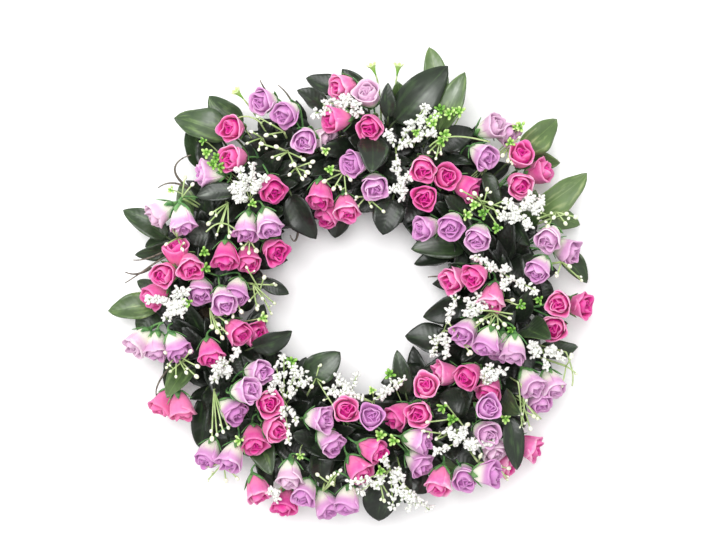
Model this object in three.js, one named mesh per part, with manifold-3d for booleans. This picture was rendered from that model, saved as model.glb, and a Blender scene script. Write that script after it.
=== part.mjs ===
// A floral wreath lying on its back, as it would on a table: a ring of twisted vine carries leafy stems,
// bunches of artificial rosebuds in pink and lavender, sprays of white gypsophila and pale green berry
// sprigs. Every bunch and spray stands on its own stem, which ends on the vine. The leafy stems run along
// the vine's outer and inner flanks, and their leaves turn aside for whatever stands in their way.
// Lengths are millimetres, angles are degrees. +Z is up, away from the table, and +Y is the wreath's top.

import * as THREE from "three";
import { mergeVertices } from "three/addons/utils/BufferGeometryUtils.js";
import Module from "manifold-3d";

const wasm = await Module();
wasm.setup();

// Driving dimensions.
const RING_RADIUS = 135; // centreline of the vine ring
const VINE_HALF_WIDTH = 17;
const VINE_HALF_HEIGHT = 13.5;
const VINE_HEIGHT = 12.5; // centreline above the table
const VINE_SETTLED = 2.6; // what lies lower than this is pressed flat on the table
const BUD_LENGTH = 29;
const BUD_RADIUS = 12;
const STEM_RADIUS = 1.2;
const LEAF_THICKNESS = 1.5; // at the midrib
const FLORET_RADIUS = 3;
const BERRY_RADIUS = 2.1;
const SEAT_GAP = 0.35; // between a stem's foot and the vine that it rests on
const DOME_BASE = 18; // the blooms lie on a dome over the vine, this high at its edges
const DOME_RISE = 44;
const DOME_HALF_WIDTH = 76;
const DOME_EDGE = 0.94; // beyond this share of its half width the dome falls no further
const TABLE_CLEARANCE = 2.5;

// The front view that places are read from: its pixels, and where its eye stands over the wreath.
const PIXEL = 0.9; // millimetres, at the height VIEW_LEVEL
const VIEW_DISTANCE = 1500;
const VIEW_LEVEL = 60;
const VIEW_CENTRE = [356, 280];
const ORIGIN_PIXEL = [349.4, 284];
const RING_PIXEL = [357, 298];

const PINK = "pink";
const LAVENDER = "lavender";

// Bunches of rosebuds: colour, then for each bud its pixel, the way its mouth points in the picture
// (0 is right, 90 is up), its tilt away from the viewer, and its height over the dome if it isn't on it.
const BUNCHES = [
  [PINK, [234, 128, 200, 25], [236, 158, 190, 35], [272, 186, 290, 45]],
  [PINK, [344, 86, 200, 50], [339, 119, 190, 60], [371, 125, 250, 30]],
  [PINK, [320, 193, 270, 65], [331, 213, 225, 60], [346, 206, 280, 50]],
  [PINK, [423, 166, 270, 30], [444, 178, 20, 15], [426, 197, 225, 15], [464, 186, 328, 72, -17]],
  [PINK, [521, 158, 90, 25], [518, 183, 300, 30], [537, 173, 20, 60, -4]],
  [PINK, [560, 303, 200, 20], [577, 305, 0, 45], [555, 327, 210, 20]],
  [PINK, [456, 279, 200, 50], [477, 275, 215, 40], [493, 295, 260, 60]],
  [PINK, [470, 374, 215, 40], [490, 386, 250, 50, -12], [447, 374, 180, 70, -6]],
  [PINK, [426, 388, 100, 20], [421, 413, 200, 20], [400, 414, 220, 60, -3]],
  [PINK, [371, 449, 340, 60], [357, 467, 310, 60], [345, 411, 60, 15]],
  [PINK, [267, 403, 0, 20], [273, 428, 340, 35], [254, 437, 280, 50]],
  [PINK, [236, 330, 320, 50], [252, 334, 0, 45], [210, 351, 285, 55]],
  [PINK, [181, 405, 285, 70], [165, 401, 240, 70]],
  [PINK, [166, 273, 220, 25], [190, 264, 290, 35], [178, 255, 100, 60, -6], [157, 294, 220, 60, -6]],
  [PINK, [225, 254, 270, 60], [248, 257, 280, 50, -4], [273, 249, 320, 35]],
  [PINK, [257, 488, 290, 65], [285, 500, 260, 60, -12]],
  [PINK, [440, 479, 255, 60]],
  [PINK, [502, 463, 340, 60, -14], [526, 446, 340, 65, -4]],
  [LAVENDER, [211, 173, 180, 75], [161, 212, 215, 70], [182, 218, 280, 70]],
  [LAVENDER, [266, 101, 200, 35], [288, 112, 225, 40], [306, 138, 250, 30], [320, 139, 350, 50, -10]],
  [LAVENDER, [369, 97, 120, 30], [357, 163, 200, 40], [375, 184, 270, 35]],
  [LAVENDER, [428, 227, 200, 50], [452, 223, 250, 35], [479, 235, 250, 40]],
  [LAVENDER, [489, 128, 20, 55], [504, 132, 330, 50], [481, 154, 320, 45]],
  [LAVENDER, [550, 236, 240, 40], [565, 249, 330, 60], [540, 267, 235, 50]],
  [LAVENDER, [467, 329, 230, 50], [488, 340, 250, 65], [501, 345, 260, 65, -6], [514, 348, 265, 65]],
  [LAVENDER, [486, 408, 30, 15], [484, 432, 330, 30], [492, 447, 300, 50, -3]],
  [LAVENDER, [530, 381, 300, 60], [538, 398, 290, 50], [551, 382, 290, 60, -5]],
  [LAVENDER, [416, 440, 350, 65], [417, 461, 320, 55], [371, 418, 80, 15]],
  [LAVENDER, [317, 419, 0, 50], [328, 440, 320, 55]],
  [LAVENDER, [256, 372, 0, 45], [243, 391, 10, 50], [230, 409, 330, 55]],
  [LAVENDER, [176, 345, 300, 65], [157, 345, 270, 65], [140, 340, 230, 65]],
  [LAVENDER, [200, 288, 280, 45], [223, 298, 290, 45], [237, 290, 262, 50]],
  [LAVENDER, [247, 225, 265, 65], [268, 221, 290, 60]],
  [LAVENDER, [209, 452, 250, 60, -5], [232, 455, 250, 60, -5]],
  [LAVENDER, [290, 473, 270, 60], [305, 491, 250, 45], [325, 502, 300, 60], [348, 499, 260, 60]],
  [LAVENDER, [464, 475, 280, 30], [486, 474, 0, 60]],
];

// Sprays of gypsophila: the pixel at which the stem forks, then the pixels of its branches' tips.
const GYPSOPHILA = [
  [[250, 200], [233, 188], [240, 172], [253, 166], [263, 178]],
  [[354, 106], [345, 98], [329, 103], [316, 113], [356, 104]],
  [[396, 150], [388, 133], [410, 125], [432, 131], [424, 108], [396, 170], [401, 188]],
  [[520, 212], [508, 203], [530, 197], [541, 205], [515, 220], [529, 227]],
  [[500, 272], [476, 256], [506, 268], [505, 287], [521, 284], [535, 290]],
  [[542, 350], [532, 345], [534, 355], [547, 366], [561, 356]],
  [[444, 330], [455, 299], [451, 310], [434, 340], [433, 353], [446, 356]],
  [[462, 440], [448, 430], [437, 451], [474, 444], [488, 446], [463, 428]],
  [[390, 470], [384, 458], [399, 492], [393, 505], [412, 497], [352, 483], [376, 487]],
  [[284, 400], [276, 366], [284, 357], [296, 372], [293, 390], [296, 421], [289, 441]],
  [[228, 364], [238, 350], [229, 372], [215, 369], [215, 380]],
  [[172, 302], [150, 299], [178, 291], [172, 306], [186, 291], [184, 304]],
  [[372, 402], [338, 384], [333, 392], [385, 392], [392, 383], [403, 380]],
];

// Berry sprigs: the pixel at which the stem forks, then the pixels of its berries.
const SPRIGS = [
  [[284, 132], [258, 117], [271, 124], [267, 135]],
  [[288, 152], [262, 144], [279, 158], [294, 164], [302, 178]],
  [[344, 172], [333, 170], [325, 181], [350, 179], [346, 193]],
  [[366, 197], [357, 197], [371, 206], [383, 211]],
  [[440, 141], [429, 152], [441, 153], [436, 158]],
  [[483, 205], [469, 199], [487, 190], [497, 211], [499, 228]],
  [[508, 149], [503, 155], [512, 163], [519, 138]],
  [[556, 212], [565, 223], [575, 217], [539, 218]],
  [[561, 262], [557, 275], [569, 266], [581, 280]],
  [[497, 313], [482, 320], [498, 327], [509, 318]],
  [[457, 418], [437, 438], [428, 422], [465, 428], [446, 404]],
  [[228, 203], [212, 213], [209, 223], [217, 234], [229, 236]],
  [[253, 284], [275, 285], [257, 308], [274, 303]],
  [[210, 309], [212, 326], [222, 337], [226, 322]],
  [[177, 355], [167, 367], [176, 376], [197, 366]],
  [[214, 390], [212, 438], [223, 431], [228, 427]],
  [[224, 462], [208, 480], [226, 480], [237, 478], [204, 468]],
  [[323, 491], [331, 484], [334, 474], [340, 471]],
  [[379, 478], [384, 500], [388, 494], [381, 470]],
  [[492, 458], [507, 479], [500, 466], [490, 469]],
  [[521, 398], [530, 428], [537, 418], [519, 413]],
  [[250, 240], [243, 248], [249, 252], [256, 250]],
  [[384, 92], [373, 69], [398, 68]],
  [[258, 104], [239, 93]],
];

// Leaves that show in the front view: tip pixel, pixel of the blade's base, width in millimetres,
// and heights of tip and base above the table.
const SHOWN_LEAVES = [
  [429, 47, 441, 103, 22, 38, 40],
  [448, 66, 394, 122, 36, 52, 46],
  [465, 72, 439, 132, 23, 48, 42],
  [388, 83, 388, 118, 14, 62, 50],
  [342, 69, 367, 104, 20, 40, 36],
  [306, 78, 345, 92, 20, 34, 36],
  [297, 90, 327, 112, 20, 42, 36],
  [174, 118, 231, 136, 34, 30, 34],
  [209, 96, 241, 128, 26, 36, 34],
  [211, 181, 211, 132, 26, 34, 30],
  [187, 130, 200, 168, 20, 26, 24],
  [123, 210, 168, 238, 22, 28, 30],
  [145, 247, 178, 234, 17, 22, 24],
  [135, 255, 172, 246, 15, 30, 32],
  [137, 281, 168, 296, 16, 22, 26],
  [108, 311, 160, 306, 25, 34, 30],
  [138, 332, 158, 304, 24, 22, 20],
  [170, 394, 180, 350, 26, 30, 34],
  [200, 448, 205, 394, 24, 40, 44],
  [220, 461, 233, 424, 28, 32, 38],
  [271, 495, 257, 450, 20, 40, 40],
  [292, 331, 252, 348, 22, 46, 44],
  [289, 294, 262, 280, 13, 34, 36],
  [316, 239, 291, 194, 28, 52, 52],
  [335, 238, 340, 206, 25, 38, 38],
  [383, 235, 393, 198, 28, 44, 44],
  [411, 249, 466, 246, 26, 48, 46],
  [414, 264, 450, 258, 16, 34, 36],
  [423, 317, 470, 303, 25, 40, 40],
  [405, 336, 449, 346, 30, 34, 36],
  [397, 350, 406, 395, 17, 48, 42],
  [340, 352, 306, 382, 28, 44, 44],
  [306, 357, 299, 392, 20, 34, 36],
  [379, 521, 382, 480, 33, 36, 38],
  [322, 484, 317, 452, 26, 40, 36],
  [335, 503, 331, 472, 24, 24, 28],
  [430, 491, 400, 470, 26, 38, 42],
  [517, 470, 508, 416, 20, 42, 46],
  [524, 428, 508, 388, 20, 26, 32],
  [578, 347, 540, 346, 20, 28, 32],
  [587, 283, 560, 246, 19, 26, 28],
  [587, 173, 533, 214, 30, 40, 40],
  [580, 225, 540, 212, 20, 24, 28],
  [557, 119, 520, 152, 29, 40, 40],
  [560, 163, 524, 156, 18, 28, 28],
  [530, 246, 506, 214, 24, 46, 48],
  [508, 275, 538, 258, 20, 26, 26],
  [499, 208, 484, 172, 15, 46, 46],
  [196, 196, 236, 192, 24, 40, 44],
  [184, 238, 218, 232, 26, 36, 42],
  [438, 398, 472, 398, 26, 46, 48],
  [378, 168, 384, 138, 22, 56, 50],
];

// Leaves that fill the body of the wreath, grown by rule on each leafy stem.
const OUTER_STEMS = 6;
const INNER_STEMS = 4;
const FILL_LEAVES_OUTER = 4;
const FILL_LEAVES_INNER = 3;
const FILL_TRIES = 150;
const FILL_SEED = 20;
const FILL_REACH = [-56, 64]; // how far in and out of the ring's centreline these leaves' tips may come
const FILL_ENDS = 2; // degrees kept free of these leaves at each end of a stem
const FILL_RISES = [-2, 75]; // how steeply one may rise on the outer side
const FILL_SWEEP = 55;
const FILL_LENGTHS = [42, 56];
const FILL_WIDTHS = [22, 29];
const FILL_STALKS = [8, 26];
const FILL_ROLL = 30;
const FILL_LIFT = 2; // a blade's base stands this high over its stalk's straight line

// Places

const radians = THREE.MathUtils.degToRad;
const UP = new THREE.Vector3(0, 0, 1);

// The point that a pixel of the front view shows, at a height above the table.
function place([px, py], height) {
  const scale = (PIXEL * (VIEW_DISTANCE - height)) / (VIEW_DISTANCE - VIEW_LEVEL);
  return new THREE.Vector3(
    (VIEW_CENTRE[0] - ORIGIN_PIXEL[0]) * PIXEL + (px - VIEW_CENTRE[0]) * scale,
    (ORIGIN_PIXEL[1] - VIEW_CENTRE[1]) * PIXEL + (VIEW_CENTRE[1] - py) * scale,
    height,
  );
}

const RING_CENTRE = place(RING_PIXEL, VINE_HEIGHT);

// A point by its turn round the ring, its distance outward of the ring's centreline, and its height.
function roundRing(turn, out, height) {
  const reach = RING_RADIUS + out;
  return new THREE.Vector3(
    RING_CENTRE.x + reach * Math.cos(radians(turn)),
    RING_CENTRE.y + reach * Math.sin(radians(turn)),
    height,
  );
}

// The turn and outward distance of a point.
function ringPlace(point) {
  const x = point.x - RING_CENTRE.x;
  const y = point.y - RING_CENTRE.y;
  const turn = THREE.MathUtils.radToDeg(Math.atan2(y, x));
  return { turn: (turn + 360) % 360, out: Math.sqrt(x * x + y * y) - RING_RADIUS };
}

// A point seen from the vine's centreline: its turn, its elevation in the vine's section, and how many
// millimetres it lies outside the vine's skin.
function fromVine(turn, elevation, clearance) {
  return roundRing(
    turn,
    (VINE_HALF_WIDTH + clearance) * Math.cos(radians(elevation)),
    VINE_HEIGHT + (VINE_HALF_HEIGHT + clearance) * Math.sin(radians(elevation)),
  );
}

// The height of the dome of blooms under a pixel.
function domeHeight(pixel) {
  const { out } = ringPlace(place(pixel, VIEW_LEVEL));
  const share = Math.min(DOME_EDGE, Math.abs(out) / DOME_HALF_WIDTH);
  return DOME_BASE + DOME_RISE * Math.sqrt(1 - share * share);
}

// Numbers from 0 to 1, always the same ones for a seed.
function randomFrom(seed) {
  let state = seed >>> 0;
  return () => {
    state = (Math.imul(1664525, state) + 1013904223) >>> 0;
    return state / 4294967296;
  };
}

// Points along a line of given points, no further apart than step, the ends included.
function pointsAlong(line, step) {
  const points = [line[0].clone()];
  for (let i = 1; i < line.length; i += 1) {
    const parts = Math.max(1, Math.ceil(line[i - 1].distanceTo(line[i]) / step));
    for (let k = 1; k <= parts; k += 1) points.push(line[i - 1].clone().lerp(line[i], k / parts));
  }
  return points;
}

// A smooth bend from one point to another, lifted at its middle.
function archedLine(from, to, lift, parts) {
  return Array.from({ length: parts + 1 }, (_, i) => {
    const share = i / parts;
    return from.clone().lerp(to, share).addScaledVector(UP, 4 * lift * share * (1 - share));
  });
}

// Room: what is already placed, as balls, each with its owner

const taken = [];

// Beads stand for a shape: its points with a radius. Beads at a root are open to their own owner.
function beads(points, radius, atRoot = false) {
  return points.map((point) => ({ point, radius, atRoot }));
}

function claim(shape, owner) {
  for (const bead of shape) taken.push({ ...bead, owner });
}

function insideVine(point, clearance) {
  const { out } = ringPlace(point);
  const across = out / (VINE_HALF_WIDTH + clearance);
  const along = (point.z - VINE_HEIGHT) / (VINE_HALF_HEIGHT + clearance);
  return across * across + along * along < 1;
}

// How many beads of a shape meet what is placed, the vine or the table, counted up to a limit.
function conflicts(shape, owner, closeness = 1, limit = 1) {
  let count = 0;
  for (const bead of shape) {
    if (count >= limit) break;
    if (!bead.atRoot && (bead.point.z < TABLE_CLEARANCE || insideVine(bead.point, bead.radius))) {
      count += 1;
      continue;
    }
    for (const other of taken) {
      const own = other.owner === owner;
      if (own && (bead.atRoot || other.atRoot)) continue;
      const reach = (bead.radius + other.radius) * (own ? closeness : 1);
      if (bead.point.distanceToSquared(other.point) < reach * reach) {
        count += 1;
        break;
      }
    }
  }
  return count;
}

// The first of the choices that makes a shape with no conflict, or else the one with the fewest.
function firstClear(choices, make, owner, closeness) {
  let best = null;
  for (const choice of choices) {
    const made = make(choice);
    const limit = best ? best.count : made.shape.length;
    const count = conflicts(made.shape, made.stem?.name ?? owner, closeness, limit);
    if (!best || count < best.count) best = { made, count };
    if (count === 0) break;
  }
  return { ...best.made, count: best.count };
}

// Layout of the bunches

const BUD_BEADS = [
  [0.26, 0.82],
  [0.62, 1.03],
];
const BUD_CLOSENESS = 0.96; // how near the buds of one bunch come to each other
const BUD_LIFTS = [0, 3, -3, 6, -6, 9, -9, 12, -12, 15];
const STEM_BEAD = 1.9;
const STEM_STEP = 3;
const SPIN_BY_PLACE = [7, 13]; // a bud is turned by these times its pixel, so that no two look alike

function layBud([px, py, heading, tilt, over = 0], lift) {
  const centre = place([px, py], domeHeight([px, py]) + over + lift);
  const axis = new THREE.Vector3(
    Math.cos(radians(heading)) * Math.sin(radians(tilt)),
    Math.sin(radians(heading)) * Math.sin(radians(tilt)),
    Math.cos(radians(tilt)),
  );
  const base = centre.clone().addScaledVector(axis, -BUD_LENGTH / 2);
  const shape = BUD_BEADS.flatMap(([along, wide]) =>
    beads([base.clone().addScaledVector(axis, along * BUD_LENGTH)], wide * BUD_RADIUS),
  );
  return { base, axis, spin: px * SPIN_BY_PLACE[0] + py * SPIN_BY_PLACE[1], shape };
}

const bunches = BUNCHES.map(([colour, ...rows], index) => {
  const name = `rosebuds_${colour}_${index}`;
  const buds = rows.map((row) => {
    const bud = firstClear(BUD_LIFTS, (lift) => layBud(row, lift), name, BUD_CLOSENESS);
    claim(bud.shape, name);
    return bud;
  });
  return { name, colour, buds };
});

const HUB_CLEARANCE = 9;
const NECK = 6; // how far a stem runs straight on behind its bud
const FOOT_TURNS = [0, 2, -2, 4, -4, 6, -6, 8, -8, 11, -11];
const FOOT_ELEVATIONS = [0, 14, -14, 28, -28, 42, -42];
const FOOT_CHOICES = FOOT_ELEVATIONS.flatMap((rise) => FOOT_TURNS.map((turn) => [turn, rise]));
const LOWEST_FOOT = 38;

function layFoot(towards, [turnBy, riseBy]) {
  const { turn, out } = ringPlace(towards);
  const seen = THREE.MathUtils.radToDeg(Math.atan2(towards.z - VINE_HEIGHT, out)) + riseBy;
  const elevation = Math.min(180 - LOWEST_FOOT, Math.max(LOWEST_FOOT, seen));
  return {
    turn: turn + turnBy,
    elevation,
    foot: fromVine(turn + turnBy, elevation, 0),
    hub: fromVine(turn + turnBy, elevation, HUB_CLEARANCE),
  };
}

for (const bunch of bunches) {
  const necks = bunch.buds.map(({ base, axis }) => base.clone().addScaledVector(axis, -NECK));
  const middle = necks.reduce((sum, neck) => sum.add(neck), new THREE.Vector3()).divideScalar(necks.length);
  const laid = firstClear(
    FOOT_CHOICES,
    (choice) => {
      const foot = layFoot(middle, choice);
      const stems = bunch.buds.map(({ base }, i) => [base, necks[i], foot.hub]);
      const shape = stems.flatMap((stem) => beads(pointsAlong(stem, STEM_STEP), STEM_BEAD));
      return { ...foot, shape };
    },
    bunch.name,
    0,
  );
  claim(laid.shape, bunch.name);
  claim(beads(pointsAlong([laid.hub, laid.foot], STEM_STEP), STEM_BEAD, true), bunch.name);
  Object.assign(bunch, laid);
}

// Layout of the gypsophila

const SPRAY_LIFTS = [8, 12, 4, 16, 20, 0, -4];
const FORK_DEPTH = 4; // under the dome
const BRANCH_ARCH = 3;
const BRANCH_PARTS = 3;
const FLORET_PLACES = [0.6, 1];
const FLORET_ROOM = 1.2; // kept free round a floret

const sprays = GYPSOPHILA.map(([fork, ...tips], index) => {
  const name = `gypsophila_${index}`;
  const forkPoint = place(fork, domeHeight(fork) - FORK_DEPTH);
  const laid = firstClear(
    FOOT_CHOICES,
    (choice) => {
      const foot = layFoot(forkPoint, choice);
      const stem = [foot.hub, forkPoint];
      return { ...foot, stem, shape: beads(pointsAlong(stem, STEM_STEP), STEM_BEAD) };
    },
    name,
    0,
  );
  claim(laid.shape, name);
  claim(beads(pointsAlong([laid.hub, laid.foot], STEM_STEP), STEM_BEAD, true), name);
  const branches = [];
  for (const tip of tips) {
    const branch = firstClear(
      SPRAY_LIFTS,
      (lift) => {
        const line = archedLine(forkPoint, place(tip, domeHeight(tip) + lift), BRANCH_ARCH, BRANCH_PARTS);
        const points = pointsAlong(line, STEM_STEP);
        const bare = Math.floor(points.length * FLORET_PLACES[0]);
        return {
          line,
          shape: [
            ...beads(points.slice(0, bare), STEM_BEAD),
            ...beads(points.slice(bare), FLORET_RADIUS + FLORET_ROOM),
          ],
        };
      },
      name,
      0,
    );
    if (branch.count) continue; // no room here: the tip is left to its neighbours
    claim(branch.shape, name);
    branches.push(branch.line);
  }
  return { name, ...laid, forkPoint, branches };
});

// Layout of the leafy stems, with their sprigs and leaves

const SPINE_CLEARANCE = 1.5;
const SPINE_RADIUS = 1.5;
const SPINE_PARTS = 8;
const SPINE_GAP = 3; // degrees between one stem's end and the next one's start
const OUTER_ELEVATION = 0;
const INNER_ELEVATION = 180;
const SPINE_END = 1; // degrees kept free of roots at each end

function laySpine(index, count, elevation, name) {
  const span = 360 / count;
  const start = index * span + SPINE_GAP / 2;
  const end = (index + 1) * span - SPINE_GAP / 2;
  const line = Array.from({ length: SPINE_PARTS + 1 }, (_, i) =>
    fromVine(start + ((end - start) * i) / SPINE_PARTS, elevation, SPINE_CLEARANCE),
  );
  claim(beads(pointsAlong(line, STEM_STEP), STEM_BEAD, true), name);
  return { name, start, end, elevation, line, sprigs: [], leaves: [] };
}

const leafyStems = [
  ...Array.from({ length: OUTER_STEMS }, (_, i) =>
    laySpine(i, OUTER_STEMS, OUTER_ELEVATION, `foliage_outer_${i + 1}`),
  ),
  ...Array.from({ length: INNER_STEMS }, (_, i) =>
    laySpine(i, INNER_STEMS, INNER_ELEVATION, `foliage_inner_${i + 1}`),
  ),
];

// The leafy stem that a point grows from, on the outer or the inner flank, and the root on it.
function rootOf(point, turnBy = 0) {
  const { turn, out } = ringPlace(point);
  const outer = out > 0;
  const wanted = (turn + turnBy + 360) % 360;
  const count = outer ? OUTER_STEMS : INNER_STEMS;
  const index = Math.floor(wanted / (360 / count)) + (outer ? 0 : OUTER_STEMS);
  const stem = leafyStems[index];
  const kept = Math.min(stem.end - SPINE_END, Math.max(stem.start + SPINE_END, wanted));
  return { stem, root: fromVine(kept, stem.elevation, SPINE_CLEARANCE) };
}

const SPRIG_LIFTS = [6, 10, 2, 14, -2, 18];
const ROOT_TURNS = [0, 3, -3, 6, -6, 9, -9, 13, -13];
const SPRIG_ROOT_BEADS = 3; // of a sprig's stem, that may touch their own spine
const BERRY_ROOM = 1;

for (const [fork, ...tips] of SPRIGS) {
  const forkPoint = place(fork, domeHeight(fork) - FORK_DEPTH);
  const laid = firstClear(
    ROOT_TURNS,
    (turnBy) => {
      const { stem, root } = rootOf(forkPoint, turnBy);
      const line = archedLine(root, forkPoint, 0, 1);
      const points = pointsAlong(line, STEM_STEP);
      const shape = [
        ...beads(points.slice(0, SPRIG_ROOT_BEADS), STEM_BEAD, true),
        ...beads(points.slice(SPRIG_ROOT_BEADS), STEM_BEAD),
      ];
      return { stem, line, shape };
    },
    null,
    0,
  );
  if (laid.count) continue;
  const { name } = laid.stem;
  claim(laid.shape, name);
  const stalks = [];
  for (const tip of tips) {
    const stalk = firstClear(
      SPRIG_LIFTS,
      (lift) => {
        const line = archedLine(forkPoint, place(tip, domeHeight(tip) + lift), BRANCH_ARCH, 2);
        return {
          line,
          shape: [
            ...beads(pointsAlong(line, STEM_STEP).slice(1), STEM_BEAD),
            ...beads([line[line.length - 1]], BERRY_RADIUS + BERRY_ROOM),
          ],
        };
      },
      name,
      0,
    );
    if (stalk.count) continue;
    claim(stalk.shape, name);
    stalks.push(stalk.line);
  }
  laid.stem.sprigs.push({ line: laid.line, stalks });
}

// A leaf's blade: its midrib arches from base to tip, and its edges stand up a little from the midrib.
const LEAF_ARCH = 0.09;
const LEAF_FOLD = 0.22;
const LEAF_BEAD = 2.3;
const BEADS_ALONG = 11;
const BEADS_ACROSS = 5;
const FIRST_BEAD = 0.7; // how far along, in spaces between beads
const LEAF_ROOT_BEADS = 4;
const PETIOLE_HALF_WIDTH = 1;
const ROOT_HALF_WIDTH = 0.7;

// Half width of a blade, as a share of its greatest, by the share of its length: full below the middle,
// drawn to a point at the tip.
const BLADE_LEAN = 0.82; // under 1, the blade is widest below its middle
const BLADE_FULLNESS = 0.8; // under 1, its outline is rounder than a sine

function bladeShape(share) {
  return Math.pow(Math.sin(Math.PI * Math.pow(share, BLADE_LEAN)), BLADE_FULLNESS);
}

function layBlade(base, tip, width, roll) {
  const along = tip.clone().sub(base);
  const length = along.length();
  const forward = along.clone().divideScalar(length);
  const level = UP.clone().addScaledVector(forward, -UP.dot(forward)).normalize();
  const normal = level.applyAxisAngle(forward, radians(roll));
  const side = forward.clone().cross(normal);
  const midrib = (share) =>
    base
      .clone()
      .addScaledVector(along, share)
      .addScaledVector(normal, LEAF_ARCH * length * 4 * share * (1 - share));
  const edge = (share, across) => {
    const half = (width / 2) * bladeShape(share);
    return midrib(share)
      .addScaledVector(side, half * across)
      .addScaledVector(normal, half * LEAF_FOLD * Math.abs(across));
  };
  return { base, tip, width, normal, side, midrib, edge };
}

function bladeBeads(blade) {
  const points = [];
  for (let i = 0; i < BEADS_ALONG; i += 1) {
    for (let k = 0; k < BEADS_ACROSS; k += 1) {
      points.push(blade.edge((i + FIRST_BEAD) / BEADS_ALONG, (2 * k) / (BEADS_ACROSS - 1) - 1));
    }
  }
  return beads(points, LEAF_BEAD);
}

// A leaf with its stalk, from its root on a leafy stem to its tip.
function layLeaf(stem, root, base, tip, width, roll) {
  const blade = layBlade(base, tip, width, roll);
  const stalk = pointsAlong([root, base], STEM_STEP);
  const open = Math.min(LEAF_ROOT_BEADS, stalk.length);
  return {
    stem,
    root,
    blade,
    shape: [
      ...beads(stalk.slice(0, open), STEM_BEAD, true),
      ...beads(stalk.slice(open), STEM_BEAD),
      ...bladeBeads(blade),
    ],
  };
}

const LEAF_SHIFTS = [0, -4, 4, -8, 8, -12, 12, -16, 16, 20];
const LEAF_ROLLS = [0, 14, -14, 28, -28];
const LEAF_WIDTHS = [1, 0.72];
const LEAF_TURNS = [0, 5, -5];
const SHOWN_CHOICES = LEAF_WIDTHS.flatMap((share) =>
  LEAF_SHIFTS.flatMap((shift) =>
    LEAF_ROLLS.flatMap((roll) => LEAF_TURNS.map((turnBy) => [shift, roll, turnBy, share])),
  ),
);

for (const [tipX, tipY, baseX, baseY, width, tipHeight, baseHeight] of SHOWN_LEAVES) {
  const laid = firstClear(
    SHOWN_CHOICES,
    ([shift, roll, turnBy, share]) => {
      const base = place([baseX, baseY], baseHeight + shift);
      const tip = place([tipX, tipY], tipHeight + shift);
      const { stem, root } = rootOf(base, turnBy);
      return layLeaf(stem, root, base, tip, width * share, roll);
    },
    null,
    1,
  );
  if (laid.count) continue;
  claim(laid.shape, laid.stem.name);
  laid.stem.leaves.push(laid);
}

const random = randomFrom(FILL_SEED);
const between = (low, high) => low + (high - low) * random();

for (const stem of leafyStems) {
  const outer = stem.elevation === OUTER_ELEVATION;
  for (let i = 0; i < (outer ? FILL_LEAVES_OUTER : FILL_LEAVES_INNER); i += 1) {
    for (let attempt = 0; attempt < FILL_TRIES; attempt += 1) {
      const turn = between(stem.start + FILL_ENDS, stem.end - FILL_ENDS);
      const rise = outer ? between(...FILL_RISES) : 180 - between(0, FILL_RISES[1]);
      const sweep = between(-FILL_SWEEP, FILL_SWEEP);
      const length = between(...FILL_LENGTHS);
      const width = between(...FILL_WIDTHS);
      const stalkLength = between(...FILL_STALKS);
      const roll = between(-FILL_ROLL, FILL_ROLL);
      const root = fromVine(turn, stem.elevation, SPINE_CLEARANCE);
      const outward = roundRing(turn, 1, 0).sub(roundRing(turn, 0, 0));
      const tangent = UP.clone().cross(outward);
      const direction = outward
        .multiplyScalar(Math.cos(radians(rise)) * Math.cos(radians(sweep)))
        .addScaledVector(tangent, Math.sin(radians(sweep)))
        .addScaledVector(UP, Math.sin(radians(rise)) * Math.cos(radians(sweep)));
      const base = root.clone().addScaledVector(direction, stalkLength).addScaledVector(UP, FILL_LIFT);
      const tip = base.clone().addScaledVector(direction, length);
      const leaf = layLeaf(stem, root, base, tip, width, roll);
      const { out } = ringPlace(tip);
      if (out < FILL_REACH[0] || out > FILL_REACH[1]) continue;
      if (conflicts(leaf.shape, stem.name)) continue;
      claim(leaf.shape, stem.name);
      stem.leaves.push(leaf);
      break;
    }
  }
}

// Solids

// A closed geometry as a solid for joining and cutting.
const SAME_POINT = 1e-4;

function solidOf(geometry) {
  const bare = geometry.index ? geometry.toNonIndexed() : geometry.clone();
  bare.deleteAttribute("normal");
  bare.deleteAttribute("uv");
  const merged = mergeVertices(bare, SAME_POINT);
  return new wasm.Manifold(
    new wasm.Mesh({
      numProp: 3,
      vertProperties: new Float32Array(merged.attributes.position.array),
      triVerts: new Uint32Array(merged.index.array),
    }),
  );
}

function geometryOf(solid) {
  const mesh = solid.getMesh();
  const geometry = new THREE.BufferGeometry();
  geometry.setAttribute("position", new THREE.BufferAttribute(new Float32Array(mesh.vertProperties), 3));
  geometry.setIndex(new THREE.BufferAttribute(new Uint32Array(mesh.triVerts), 1));
  geometry.computeVertexNormals();
  return geometry;
}

// Triangles between two loops, given each one's first index and number of points. The second loop has as
// many points as the first one, or a whole multiple of them that is shared out evenly.
function bandBetween(first, sides, nextFirst, nextSides) {
  const share = nextSides / sides;
  const faces = [];
  for (let k = 0; k < nextSides; k += 1) {
    const own = first + Math.floor(k / share);
    faces.push(own, nextFirst + ((k + 1) % nextSides), nextFirst + k);
  }
  for (let k = 0; k < sides; k += 1) {
    faces.push(first + k, first + ((k + 1) % sides), nextFirst + (((k + 1) * share) % nextSides));
  }
  return faces;
}

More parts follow.
